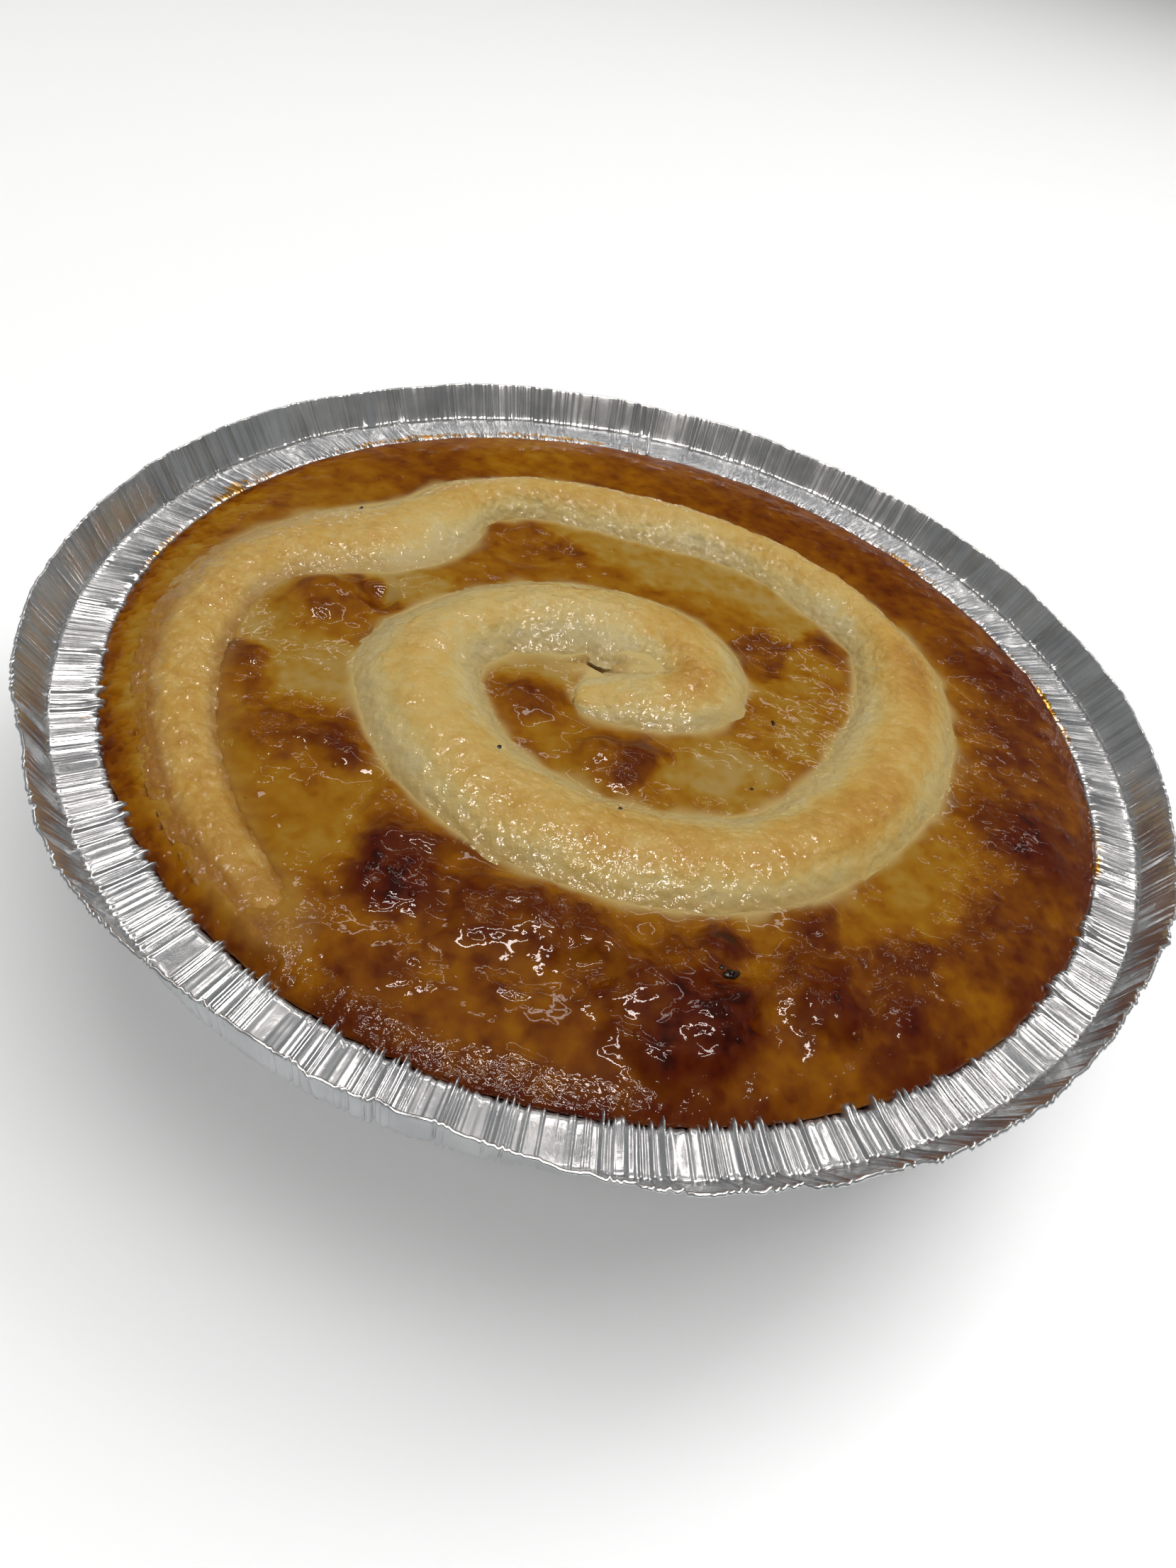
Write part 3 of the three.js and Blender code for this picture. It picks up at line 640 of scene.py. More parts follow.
tonePatches = [                      # x, y, radius, how dark it is baked: 0 tan, 0.5 brown, 1 black
    (0, 90, 26, 0.62), (30, 86, 18, 0.7), (62, 70, 18, 0.7), (-36, 85, 14, 0.4), (-12, 80, 8, 0.45),
    (-60, 62, 14, 0.6), (-88, 44, 12, 0.48), (-66, 40, 6, 0.46), (-80, 30, 5, 0.3),
    (88, 40, 16, 0.68), (90, 12, 14, 0.73), (90, -20, 14, 0.74), (82, -48, 12, 0.7), (76, 10, 6, 0.42),
    (76, -8, 7, 0.5), (71, -28, 8, 0.3), (73, 28, 4, 0.35), (77, 24, 6, 0.45), (64, -40, 8, 0.24),
    (-33, 36, 9, 0.57), (-22, 37, 5, 0.62), (-28, 28, 6, 0.5), (-10, 33, 5, 0.42), (-36, 24, 5, 0.4),
    (0, 42, 9, 0.12), (18, 42, 10, 0.05), (-10, 45, 8, 0.18), (32, 36, 7, 0.1), (20, 27, 6, 0.38),
    (30, 17, 6.5, 0.74), (27, 9, 3.5, 0.6), (44, 26, 5, 0.6), (40, 15, 6, 0.28), (33, 28, 4, 0.1),
    (35, 3, 6, 0.24), (42, -8, 6, 0.2), (48, 5, 4, 0.3), (30, -3, 3, 0.35), (28, -12, 3, 0.3),
    (-18, -8, 7, 0.05), (-18, -17, 6.5, 0.55), (-12, -22, 4, 0.42), (-8, -30, 5, 0.3),
    (-3, -33, 4.5, 0.25), (4, -28, 5, 0.58), (8, -26, 4, 0.62), (6, -34, 3.5, 0.6), (5, -21, 4, 0.42),
    (22, -26, 9, 0.03), (35, -18, 3, 0.3), (36, -12, 3, 0.2), (14, -20, 5, 0.32), (20, -37, 5, 0.36),
    (30, -31, 4, 0.3), (12, -38, 4, 0.3),
    # the first two patches of this row make the hollow at (-55, 2) between the turns darker
    (-59, 5, 4, 0.7), (-54, 0, 3.5, 0.72), (-51, 11, 7, 0.02), (-66, -3, 8, 0.3), (-62, -12, 6, 0.4),
    (-71, -15, 7, 0.1), (-73, -27, 4.5, 0.58), (-70, -31, 4, 0.55), (-60, -25, 8, 0.03), (-72, -7, 5, 0.3),
    (-62, -42, 7, 0.42), (-47, -43, 6, 0.55), (-50, -52, 5, 0.42), (-56, -60, 8, 0.36), (-43, -66, 8, 0.3),
    (-40, -55, 5, 0.25), (-30, -56, 7, 0.4), (-30, -70, 6.5, 0.76), (-24, -73, 5, 0.7), (-18, -64, 6, 0.52),
    (-14, -74, 7, 0.56), (0, -74, 8, 0.5), (0, -82, 5, 0.52), (10, -64, 7, 0.4), (-5, -64, 5, 0.42),
    (12, -85, 7, 0.48), (22, -82, 7, 0.75), (31, -84, 6, 0.8), (27, -68, 3.5, 0.76), (20, -72, 5, 0.44),
    (43, -58, 5, 0.66), (46, -72, 7, 0.64), (35, -75, 5, 0.42), (60, -60, 6, 0.78), (60, -74, 10, 0.74),
    (54, -52, 7, 0.36), (75, -52, 7, 0.68), (40, -88, 8, 0.55), (0, -93, 8, 0.46), (-12, -92, 6, 0.5),
    (-26, -92, 7, 0.72), (28, -96, 10, 0.7), (0, -101, 20, 0.7), (-38, -84, 6, 0.55), (-46, -80, 6, 0.35),
    (-98, 0, 7, 0.3), (-97, -22, 7, 0.28), (-91, -42, 6, 0.26), (-86, -34, 5, 0.28), (-77, -64, 8, 0.3),
    (-70, -55, 6, 0.28), (-62, -78, 7, 0.36), (-52, -88, 5, 0.44), (-42, -92, 6, 0.46), (-96, 24, 6, 0.32),
    (-47, 17, 3, 0.3), (-36, 46, 5, 0.4), (-20, 47, 5, 0.16),
]


def discGrid(cells):                                 # a square grid bent into a disc of even cells
    a, b = np.meshgrid(np.linspace(-1, 1, cells + 1), np.linspace(-1, 1, cells + 1))
    wide = np.abs(a) > np.abs(b)
    safeA, safeB = np.where(a == 0, 1, a), np.where(b == 0, 1, b)
    radius = np.where(wide, a, b)
    angle = np.where(wide, np.pi / 4 * b / safeA, np.pi / 2 - np.pi / 4 * a / safeB)
    return radius * np.cos(angle), radius * np.sin(angle)


def ropeDistance(x, y, samples):                     # how far each point is across the rope
    flat = np.stack([x.ravel(), y.ravel()], -1)
    best = np.full(len(flat), np.inf)
    which = np.zeros(len(flat), int)
    for start in range(0, len(samples["share"]), 100):
        middle = samples["middle"][start:start + 100]
        away = ((flat[:, None, :] - middle[None]) ** 2).sum(-1)
        near = away.argmin(1)
        value = away[np.arange(len(flat)), near]
        closer = value < best
        best[closer] = value[closer]
        which[closer] = near[closer] + start
    gone = flat - samples["middle"][which]
    heading = samples["heading"][which]
    side = np.cos(heading) * gone[:, 1] - np.sin(heading) * gone[:, 0]
    along = np.cos(heading) * gone[:, 0] + np.sin(heading) * gone[:, 1]
    reach = np.where(side > 0, samples["left"][which], samples["right"][which])
    away = np.sqrt(best)
    reach = away / np.maximum(np.hypot(along / samples["half"][which], side / reach), 1e-6)
    return away.reshape(x.shape), np.maximum(reach, 1.0).reshape(x.shape), which.reshape(x.shape)


def strokeDistance(x, y, line):                      # distance from a line, and its end's fade
    best, fade = np.full(x.shape, 99.0), np.zeros(x.shape)
    run = np.concatenate([[0], np.cumsum([math.dist(a, b) for a, b in zip(line, line[1:])])])
    for k, (a, b) in enumerate(zip(line, line[1:])):
        ax, ay, size = b[0] - a[0], b[1] - a[1], run[k + 1] - run[k]
        t = np.clip(((x - a[0]) * ax + (y - a[1]) * ay) / size ** 2, 0, 1)
        away = np.hypot(x - a[0] - t * ax, y - a[1] - t * ay)
        closer = away < best
        best = np.where(closer, away, best)
        share = (run[k] + t * size) / run[-1]
        fade = np.where(closer, smooth(share, -0.02, 0.2) * smooth(-share, -1.02, -0.8), fade)
    return best, fade


def custardSkin(x, y, samples):
    height = domeHeight(np.hypot(x, y)) + 0.3 * softNoise(x, y, 17, 2)
    for cx, cy, radius, rise in custard["lumps"] + custard["smallLumps"]:
        wide = radius * (1 + 0.25 * softNoise(x, y, 6, 19))
        height += 1.6 * rise * np.exp(-(np.hypot(x - cx, y - cy) / wide) ** 4)
    for line in syrupLines:
        away, fade = strokeDistance(x, y, line)
        height += custard["syrupHeight"] * fade * bump(away, custard["syrupWidth"])
    distance, reach, which = ropeDistance(x, y, samples)
    share = samples["share"][which]
    late, end = smooth(share, 0.74, 0.88), smooth(share, 0.965, 1.0)
    contact = rope["contact"] - rope["creep"] * late             # the crust hides the last turn's end
    outside = np.maximum(distance - contact * reach, 0)
    flank = (1 + rope["sunk"]) * (1 - (contact / rope["flare"]) ** 2) ** rope["bell"] - rope["sunk"]
    tall = samples["tall"][which]
    meets = samples["level"][which] + tall * (flank + (1.08 - flank) * end)
    crack, fade = strokeDistance(x, y, rope["crevice"])
    gap = bump(crack, rope["creviceWidth"]) * fade
    weld = np.maximum(*(bump(np.hypot((x - cx) * a, (y - cy) * b), rope["weldReach"])
                        for cx, cy, a, b in rope["welds"]))
    climb = meets - height
    climb = np.where(climb > 0, np.maximum(climb, 0.1) * np.exp(-outside / custard["fillet"]),
                     climb * np.exp(-outside / custard["slope"]))
    height += climb
    across = np.clip(distance / reach / rope["flare"], 0, 1)
    under = samples["level"][which] - tall * (rope["sunk"] + 0.75 * np.sqrt(1 - across ** 2)) - 0.3
    bare = np.maximum(smooth(distance / reach, contact - 0.12, contact + 0.02), end)
    sunk = smooth(distance / reach, contact - 0.04, contact - 0.18) * (1 - end)
    height = height + (np.minimum(under, height) - height) * sunk
    filled = smooth(weld, 0.1, 0.75)
    level = samples["level"][which] + rope["weldLift"] * tall
    height = height + (level - height) * filled - rope["creviceDepth"] * gap
    bare = np.maximum(bare, filled)
    return height, bare, outside, weld, gap, late


def bakeTone(x, y):                                  # darkness of the bake from the patches
    total = np.full(x.shape, 0.1)
    tone = total * 0.42
    wx, wy = (at + 2.2 * softNoise(x, y, 8, seed) + 1.3 * softNoise(x, y, 3, seed + 2)
              + 0.8 * softNoise(x, y, 1.3, seed + 3) for at, seed in ((x, 31), (y, 37)))
    for cx, cy, radius, value in tonePatches:
        weight = np.exp(-1.3 * (np.hypot(wx - cx, wy - cy) / radius) ** 3)
        tone += weight * value
        total += weight
    return tone / total


def makeCustard():
    samples = ropeAt(np.linspace(0, 1, 1200))
    gx, gy = discGrid(custard["cells"])
    angle = np.arctan2(gy, gx)
    edge = custard["edge"] + custard["edgeSwing"] * roundNoise(angle, 24, 9)
    x, y = gx * edge, gy * edge
    radius = np.hypot(x, y)
    height, bare, outside, weld, gap, late = custardSkin(x, y, samples)
    bare = bare * smooth(radius, custard["edge"] + 1, custard["edge"] - 1.2)
    degrees = np.degrees(angle)
    leftSide = bump((degrees - 200 + 180) % 360 - 180, 42)
    near = smooth(-y, 35, 65)
    crumb = smooth(radius, 89, 99) * np.clip(leftSide * 1.4, 0, 1)
    nearBrim = bump((degrees + 100 + 180) % 360 - 180, 24) + 0.6 * bump(degrees + 55, 12)
    lace = smooth(radius + 1.5 * softNoise(x, y, 7, 27), 96.5, 99.5) * np.clip(nearBrim, 0, 1)
    blotch = softNoise(x, y, 9, 21)
    baked = bakeTone(x, y)
    dark = smooth(baked, 0.38, 0.66)
    lumpy = np.full(x.shape, 0.08)
    ragged = 1 + 0.35 * softNoise(x, y, 5, 61)
    for cx, cy, size, weight in wetClusters:
        away = np.hypot(x - cx, y - cy) / size / ragged
        lumpy = np.maximum(lumpy, weight * np.exp(-away ** 3))
    rough = np.clip(0.05 + 0.9 * lace + 0.35 * lumpy + 0.25 * smooth(radius, 98, 102), 0, 1.2)
    raised = np.clip(height - domeHeight(radius), -1.0, 1.6) * smooth(outside, 1.5, 5)
    # painted shade: the crevice between the first two turns is made darker (0.3 × gap) and kept from the
    # pale shore (1 - 0.8 × gap)
    baked = baked + (0.14 + 0.16 * crumb) * smooth(radius, 98.5, 104) \
        + 0.07 * softNoise(x, y, 4.5, 22) + 0.05 * softNoise(x, y, 1.9, 23) \
        + 0.12 * np.clip(raised, -0.5, 1.6) - 0.06 * crumb + 0.3 * gap
    spread = 1.1 + 1.3 * softNoise(x, y, 6, 44) + 1.0 * smooth(radius, 70, 84) * leftSide
    shore = np.exp(-(outside / np.maximum(spread, 0.35)) ** 1.5) * (1 - 0.85 * late)
    shore = np.clip(shore + 1.3 * weld, 0, 1.25) * (1 - 0.8 * gap)
    count = (custard["cells"] + 1) ** 2
    top = np.stack([x, y, height], -1).reshape(-1, 3)
    index = np.arange(count).reshape(gx.shape)
    quads = np.stack([index[:-1, :-1], index[:-1, 1:], index[1:, 1:], index[1:, :-1]], -1)
    rim = np.concatenate([index[0, :-1], index[:-1, -1], index[-1, :0:-1], index[:0:-1, 0]])
    rimAngle = np.arctan2(top[rim, 1], top[rim, 0])
    sides = custard["sides"]
    rings = [np.stack([r * np.cos(rimAngle), r * np.sin(rimAngle), np.full(len(rim), z)], -1)
             for r, z in sides]
    points = np.concatenate([top] + rings + [[[0, 0, sides[-1][1]]]])
    faceSets = [quads.reshape(-1, 4)]
    above = rim
    for k in range(len(sides)):
        below = count + k * len(rim) + np.arange(len(rim))
        faceSets.append(np.stack([above, below, np.roll(below, -1), np.roll(above, -1)], -1))
        above = below
    faceSets.append(fanFaces(above, len(points) - 1)[:, ::-1])
    extra = len(points) - count
    ring = smooth(x, 55, 74) * smooth(radius, 101, 97)
    film = 1 - 0.55 * crumb - 0.7 * smooth(y, 20, 65) \
        - 0.6 * smooth(radius, 94, 99) * smooth(y, -10, 30)
    paint = {"bare": bare, "lumpy": lumpy, "rough": rough, "crumb": crumb, "shore": shore,
             "laced": 0.28 * lace + 0.12 * lumpy + 0.16 * crumb, "baked": baked,
             "film": np.clip(film - 0.9 * weld, 0, 1),
             "blister": np.clip(0.2 + 0.6 * dark * smooth(blotch, -0.3, 0.4) + 0.8 * ring, 0, 1),
             "beady": (0.12 + 0.4 * near * (radius < 97) + 0.5 * ring) * (bare > 0.95) * (1 - crumb)}
    paint = {k: np.concatenate([v.ravel(), np.full(extra, 0.7 if k == "baked" else 0.0)])
             for k, v in paint.items()}
    return makePiece("bakedCustard", points, faceSets, paint)


def swellSteps(part, detail, distortion=0.0):        # noise of a size, centred, at twice its height
    return [
        (part + "Scale", "DIVIDE", 1.0, part + " Size"),
        (part + "Noise", "TexNoise", {
            "Scale": part + "Scale", "Detail": detail, "Distortion": distortion}),
        (part + "Off", "SUBTRACT", part + "Noise", 0.5),
        (part + "Twice", "MULTIPLY", part + " Height", 2.0),
        (part, "MULTIPLY", part + "Off", part + "Twice")]


atPoints = {"data_type": "FLOAT", "domain": "POINT"}
skinSteps = swellSteps("Swell", 1.0) + swellSteps("Lump", 1.5, 0.7) + swellSteps("Rough", 1.5, 0.4) + [
    ("lumps", "MULTIPLY", "Lump", "lumpy"), ("grains", "MULTIPLY", "Rough", "rough"),
    ("blisterScale", "DIVIDE", 1.0, "Blister Size"),
    ("cells", "TexVoronoi", {"Scale": "blisterScale"}),
    ("share", "FunctionNodeSeparateColor", {"Color": "cells.Color"}),
    ("chosen", "MapRange", ["share", 0.5, 0.65, 0.0, 1.0], eased),
    ("round", "MapRange", ["cells.Distance", 0.05, 0.45, 1.0, 0.0], eased),
    ("raised", "MULTIPLY", "round", "chosen"), ("high", "MULTIPLY", "Blister Height", "blister"),
    ("blisters", "MULTIPLY", "raised", "high"), ("crumbScale", "DIVIDE", 1.0, "Crumb Size"),
    ("pitted", "TexNoise", {"Scale": "crumbScale", "Detail": 3.0, "Distortion": 0.4}),
    ("pits", "MapRange", ["pitted", 0.38, 0.5, -1.0, 0.0], eased),
    ("tuftSize", "MULTIPLY", "Crumb Size", 1.8), ("tuftScale", "DIVIDE", 1.0, "tuftSize"),
    ("tufted", "TexNoise", {"Scale": "tuftScale", "Detail": 2.0}),
    ("tuftOff", "SUBTRACT", "tufted", 0.5), ("tufts", "MULTIPLY", "tuftOff", 1.6),
    ("broken", "ADD", "pits", "tufts"), ("deep", "MULTIPLY", "broken", "Crumb Depth"),
    ("crumbs", "MULTIPLY", "deep", "crumb"), ("both", "ADD", "Swell", "lumps"),
    ("small", "ADD", "grains", "blisters"), ("all", "ADD", "small", "crumbs"),
    ("total", "ADD", "both", "all"), ("rise", "MULTIPLY", "total", "bare"),
    ("lift", "CombineXYZ", {"Z": "rise"}),
    # the stored tone: browner on the tops of the lumps and grains, and painted shade in the crumb's pits
    ("tops", "ADD", "lumps", "grains"), ("torn", "MULTIPLY", "crumbs", -0.9),
    ("hot", "ADD", "tops", "torn"), ("hotHere", "MULTIPLY", "hot", "bare"),
    ("noted", "GeometryNodeStoreNamedAttribute", {"Geometry": "Geometry", "Name": "burnt",
                                                  "Value": "hotHere"}, atPoints),
    ("moved", "GeometryNodeSetPosition", {"Geometry": "noted", "Offset": "lift"}),
]
dropSteps = [                        # small bubbles of syrup on the skin
    ("rate", "MULTIPLY", "beady", "Per Square Metre"),
    ("spots", "GeometryNodeDistributePointsOnFaces", {"Mesh": "Geometry", "Density": "rate",
                                                      "Seed": "Seed"}),
    ("drop", "GeometryNodeMeshIcoSphere", {"Radius": 1.0, "Subdivisions": 2}),
    ("sunk", "GeometryNodeTransform", {"Geometry": "drop", "Translation": (0, 0, -0.55)}),
    ("soft", "GeometryNodeSetShadeSmooth", {"Geometry": "sunk"}),
    ("size", "FunctionNodeRandomValue", {"Seed": "Seed"}, {"data_type": "FLOAT"}),
    ("curve", "POWER", "size.Value_001", 3.0),
    ("width", "MapRange", {"Value": "curve", "To Min": "Smallest", "To Max": "Largest"}),
    ("low", "MULTIPLY", "width", 0.5), ("scale", "CombineXYZ", ["width", "width", "low"]),
    ("laid", "GeometryNodeInstanceOnPoints", {"Points": "spots", "Instance": "soft",
                                              "Rotation": "spots.Rotation", "Scale": "scale"}),
]


def bakedCrust():
    # set egg and milk custard browned in the oven under its own syrup: translucent, wet and dark
    # where the sugar burnt, dull and crumbly where it dried at the edge
    return newMaterial("bakedCustard", [
        ("mottle", "TexNoise", {"Scale": 1 / 0.005, "Detail": 3.0, "Roughness": 0.5}),
        ("shift", "MapRange", ["mottle", 0.3, 0.7, -0.1, 0.1]),
        ("flecks", "TexNoise", {"Scale": 1 / 0.0032, "Detail": 1.5, "Distortion": 0.3}),
        ("darker", "MapRange", ["flecks", 0.5, 0.7, -0.01, 0.07], eased),
        # the burnt tone browns the lumps' tops and, as painted shade, darkens the crumb's pits
        ("flecked", "ADD", "shift", "darker"), ("tops", "MULTIPLY_ADD", "burnt", 130.0, "flecked"),
        ("bake", "ADD", "baked", "tops"), ("tone", "ValToRGB", {"Fac": "bake"}),
        ("pale", "MapRange", {"Value": "shore", "From Max": 1.25}),
        ("colour", "Mix", {"Factor_Float": "pale", "A_Color": "tone",
                           "B_Color": toLinear("#b09a63")}, rgba),
        ("thin", "MULTIPLY", "film", 0.4),
        ("wave", "TexNoise", {"Scale": 1 / 0.003, "Detail": 0.7, "Distortion": 0.5}),
        ("ripple", "TexNoise", {"Scale": 1 / 0.0012, "Detail": 1.0, "Distortion": 0.6}),
        ("lace", "MULTIPLY", "ripple", "laced"), ("depth", "MULTIPLY_ADD", "lumpy", 0.9, 0.12),
        ("high", "MULTIPLY_ADD", "wave", "depth", "lace"),
        ("creased", "Bump", {"Height": "high", "Distance": 0.0008, "Strength": 1.0}),
        ("grain", "TexNoise", {"Scale": 1 / 0.0009, "Detail": 2.0}),
        ("relief", "Bump", {"Height": "grain", "Distance": 0.00012, "Strength": 0.7}),
    ], {"Base Color": "colour.Result_Color", "IOR": 1.36, "Specular IOR Level": 0.03, "Roughness": 0.45,
        "Subsurface Weight": 0.2, "Subsurface Radius": (1.0, 0.4, 0.12), "Subsurface Scale": 0.002,
        "Coat Roughness": 0.03, "Coat IOR": 1.4, "Coat Weight": "thin", "Coat Normal": "creased",
        "Normal": "relief"}, "burnt baked shore film laced lumpy", [
        (0.0, "#947841"), (0.15, "#8e6b24"), (0.3, "#875b0a"), (0.45, "#7b4900"),
        (0.6, "#693700"), (0.75, "#542300"), (0.9, "#461200"), (1.0, "#2c0700")])


crust = bakedCrust()
flan = makeCustard()
values = {**custard["relief"], "Material": crust}
runTree(flan, newTree("bakeSkin", values, "lumpy rough blister crumb bare", skinSteps), values)
values = {**custard["drops"], "Material": crust}
blisters = runTree(flan, newTree("scatterBlisters", values, "beady", dropSteps), values,
                   "custardBlisters")
finishPiece(flan, "custard", "coconut_custard")
finishPiece(blisters, "custard")
print("made custard", len(flan.data.polygons), "faces, blisters", len(blisters.data.polygons))


doughPatches = [                     # x, y, radius, change of browning
    (13, -3, 6, 0.3), (12, 17, 8, 0.15), (64, 20, 10, 0.3), (66, 32, 7, 0.15), (50, -36, 9, 0.22),
    (22, -50, 8, 0.12), (36, -46, 8, 0.15), (-26, -47, 6, 0.12), (-42, -6, 6, 0.06),
    (50, 46, 7, 0.15), (58, -22, 8, 0.12), (8, -48, 8, 0.08), (-50, 45, 6, 0.1),
    (-5, -14, 6, -0.15), (2, -9, 5, -0.2), (-8, 2, 8, -0.2), (-46, 28, 7, -0.3), (53, 2, 6, -0.25),
    (44, 40, 7, -0.2), (0, -60, 10, -0.1), (-30, -50, 7, -0.12), (-50, -8, 4, -0.2), (28, -42, 6, -0.15),
    (-25, 5, 6, -0.1), (10, 52, 8, -0.15), (-46, -26, 5, -0.08), (-20, 8, 20, -0.16), (-38, -8, 12, -0.16),
    (-32, -34, 11, -0.12), (62, 6, 14, 0.14), (52, -34, 9, 0.14), (0, -63, 12, 0.2), (30, 60, 14, 0.05),
]

dewySpots = [                        # x, y, radius and how thick the wet film stands there
    (5, -57, 16, 1), (25, -55, 12, 1), (38, -48, 8, 0.9), (-15, -56, 12, 1), (-30, -50, 10, 0.9),
    (-40, -40, 7, 0.5), (-42, -14, 7, 0.7), (-38, -25, 8, 0.25), (-20, 4, 9, 0.9), (-8, 12, 8, 0.8),
    (10, -10, 10, 0.9), (15, -3, 8, 0.7), (42, -36, 6, 0.4), (55, -25, 6, 0.25), (63, -8, 5, 0.25),
    (-85, -10, 12, 0.6), (-78, 8, 10, 0.5), (-66, 20, 12, 0.4), (-47, 30, 8, 0.3), (-80, -35, 10, 0.5),
    (-70, -55, 10, 0.5), (-2, 57, 12, 0.3), (20, 55, 8, 0.25), (45, 40, 6, 0.2),
]


def makeDough():
    swing = np.linspace(-np.pi / 2, 0, rope["capRows"] + 1)[1:-1]
    share = np.concatenate([np.zeros(len(swing)), np.linspace(0, 1, rope["rows"]), np.ones(len(swing))])
    slim = np.concatenate([np.cos(swing), np.ones(rope["rows"]), np.cos(swing[::-1])])
    beyond = np.concatenate([np.sin(swing), np.zeros(rope["rows"]), -np.sin(swing[::-1])])
    line = ropeAt(share)
    around = np.concatenate([np.linspace(0, np.pi, rope["over"], endpoint=False),
                             np.linspace(np.pi, 2 * np.pi, rope["under"], endpoint=False)])
    across = rope["flare"] * np.cos(around)[None]
    over = np.sin(around)[None]
    crest = np.where(over > 0, (1 + rope["sunk"]) * np.abs(over) ** (2 * rope["bell"]), 0.7 * over)
    run = share * line["total"]
    uneven = 1 + 0.04 * softNoise(run, 0 * share, 12, 6)
    half = (line["half"] * slim)[:, None]
    right, left = (
        across * (line[way] * slim * (1 + 0.05 * softNoise(run, 0 * share, 9, seed)
                                      + 0.03 * softNoise(run, 0 * share, 4, seed + 1)))[:, None]
        for way, seed in (("right", 51), ("left", 53)))
    side = np.where(across > 0, right, left)
    up = crest * slim[:, None] - rope["sunk"]
    rise = up * (line["tall"] * uneven)[:, None]
    edge = np.abs(np.broadcast_to(across, side.shape))
    lowEdge = smooth(edge, 0.72, 1.06)
    cos, sin = np.cos(line["heading"])[:, None], np.sin(line["heading"])[:, None]
    past = (beyond * rope["flare"] * line["half"])[:, None]
    x = line["middle"][:, :1] + cos * past + sin * side
    y = line["middle"][:, 1:] + sin * past - cos * side
    z = line["level"][:, None] + rise
    points = np.stack([x, y, z], -1).reshape(-1, 3)
    rows, columns = x.shape
    tips = np.array([[*line["middle"][k], line["level"][k] - rope["sunk"] * line["tall"][k]]
                     for k in (0, -1)])
    for tip, k, sign in ((0, 0, -1), (1, -1, 1)):
        tips[tip, :2] += sign * rope["flare"] * line["half"][k] * np.array([cos[k, 0], sin[k, 0]])
    shareGrid = np.broadcast_to(share[:, None], x.shape)
    golden = 0.1 + 0.42 * smooth(-edge, -1.0, -0.3)
    golden = golden + 0.12 * softNoise(x, y, 10, 41) + 0.06 * softNoise(x, y, 3.5, 42)
    for cx, cy, radius, change in doughPatches:
        golden = golden + change * bump(np.hypot(x - cx, y - cy), radius)
    crusted = smooth(shareGrid, 0.72, 0.9)
    golden = golden + 0.12 * crusted + 0.1 * smooth(shareGrid, 0.86, 1.0)
    run = shareGrid * line["total"]
    wet = np.full(x.shape, 0.2)
    for cx, cy, size, weight in dewySpots:
        wet = np.maximum(wet, weight * np.exp(-(np.hypot(x - cx, y - cy) / size) ** 3))
    patchy = 0.5 + 0.9 * softNoise(x, y, 7, 71)
    flank = smooth(across, 0.3, 0.85) + 0.85 * smooth(-across, 0.4, 0.85)
    scorch = crusted * np.clip(flank * (0.75 + 0.5 * patchy), 0, 1)
    scorch = scorch + smooth(shareGrid, 0.93, 1.0) * (0.35 + 0.35 * patchy)
    stain = lowEdge * (0.4 + 0.3 * smooth(-y, 40, 60)) + 0.1 * crusted
    paint = {"golden": golden, "wrinkled": 0.3 + 0.7 * lowEdge, "dewy": wet, "stain": stain,
             "crusty": 0.12 + 0.88 * crusted, "scorch": np.clip(scorch, 0, 0.95),
             "along": np.stack([run * mm, np.broadcast_to(across, x.shape) * half * mm, 0 * x], -1)}
    paint = {k: (v.reshape(-1, 3) if v.ndim == 3 else v.ravel()) for k, v in paint.items()}
    paint = {k: np.concatenate([v, v[:1], v[-1:]]) for k, v in paint.items()}
    first = np.arange(columns)
    faceSets = [gridFaces(rows, columns), fanFaces(first, len(points))[:, ::-1],
                fanFaces(first + (rows - 1) * columns, len(points) + 1)]
    return makePiece("doughSpiral", np.concatenate([points, tips]), faceSets, paint)


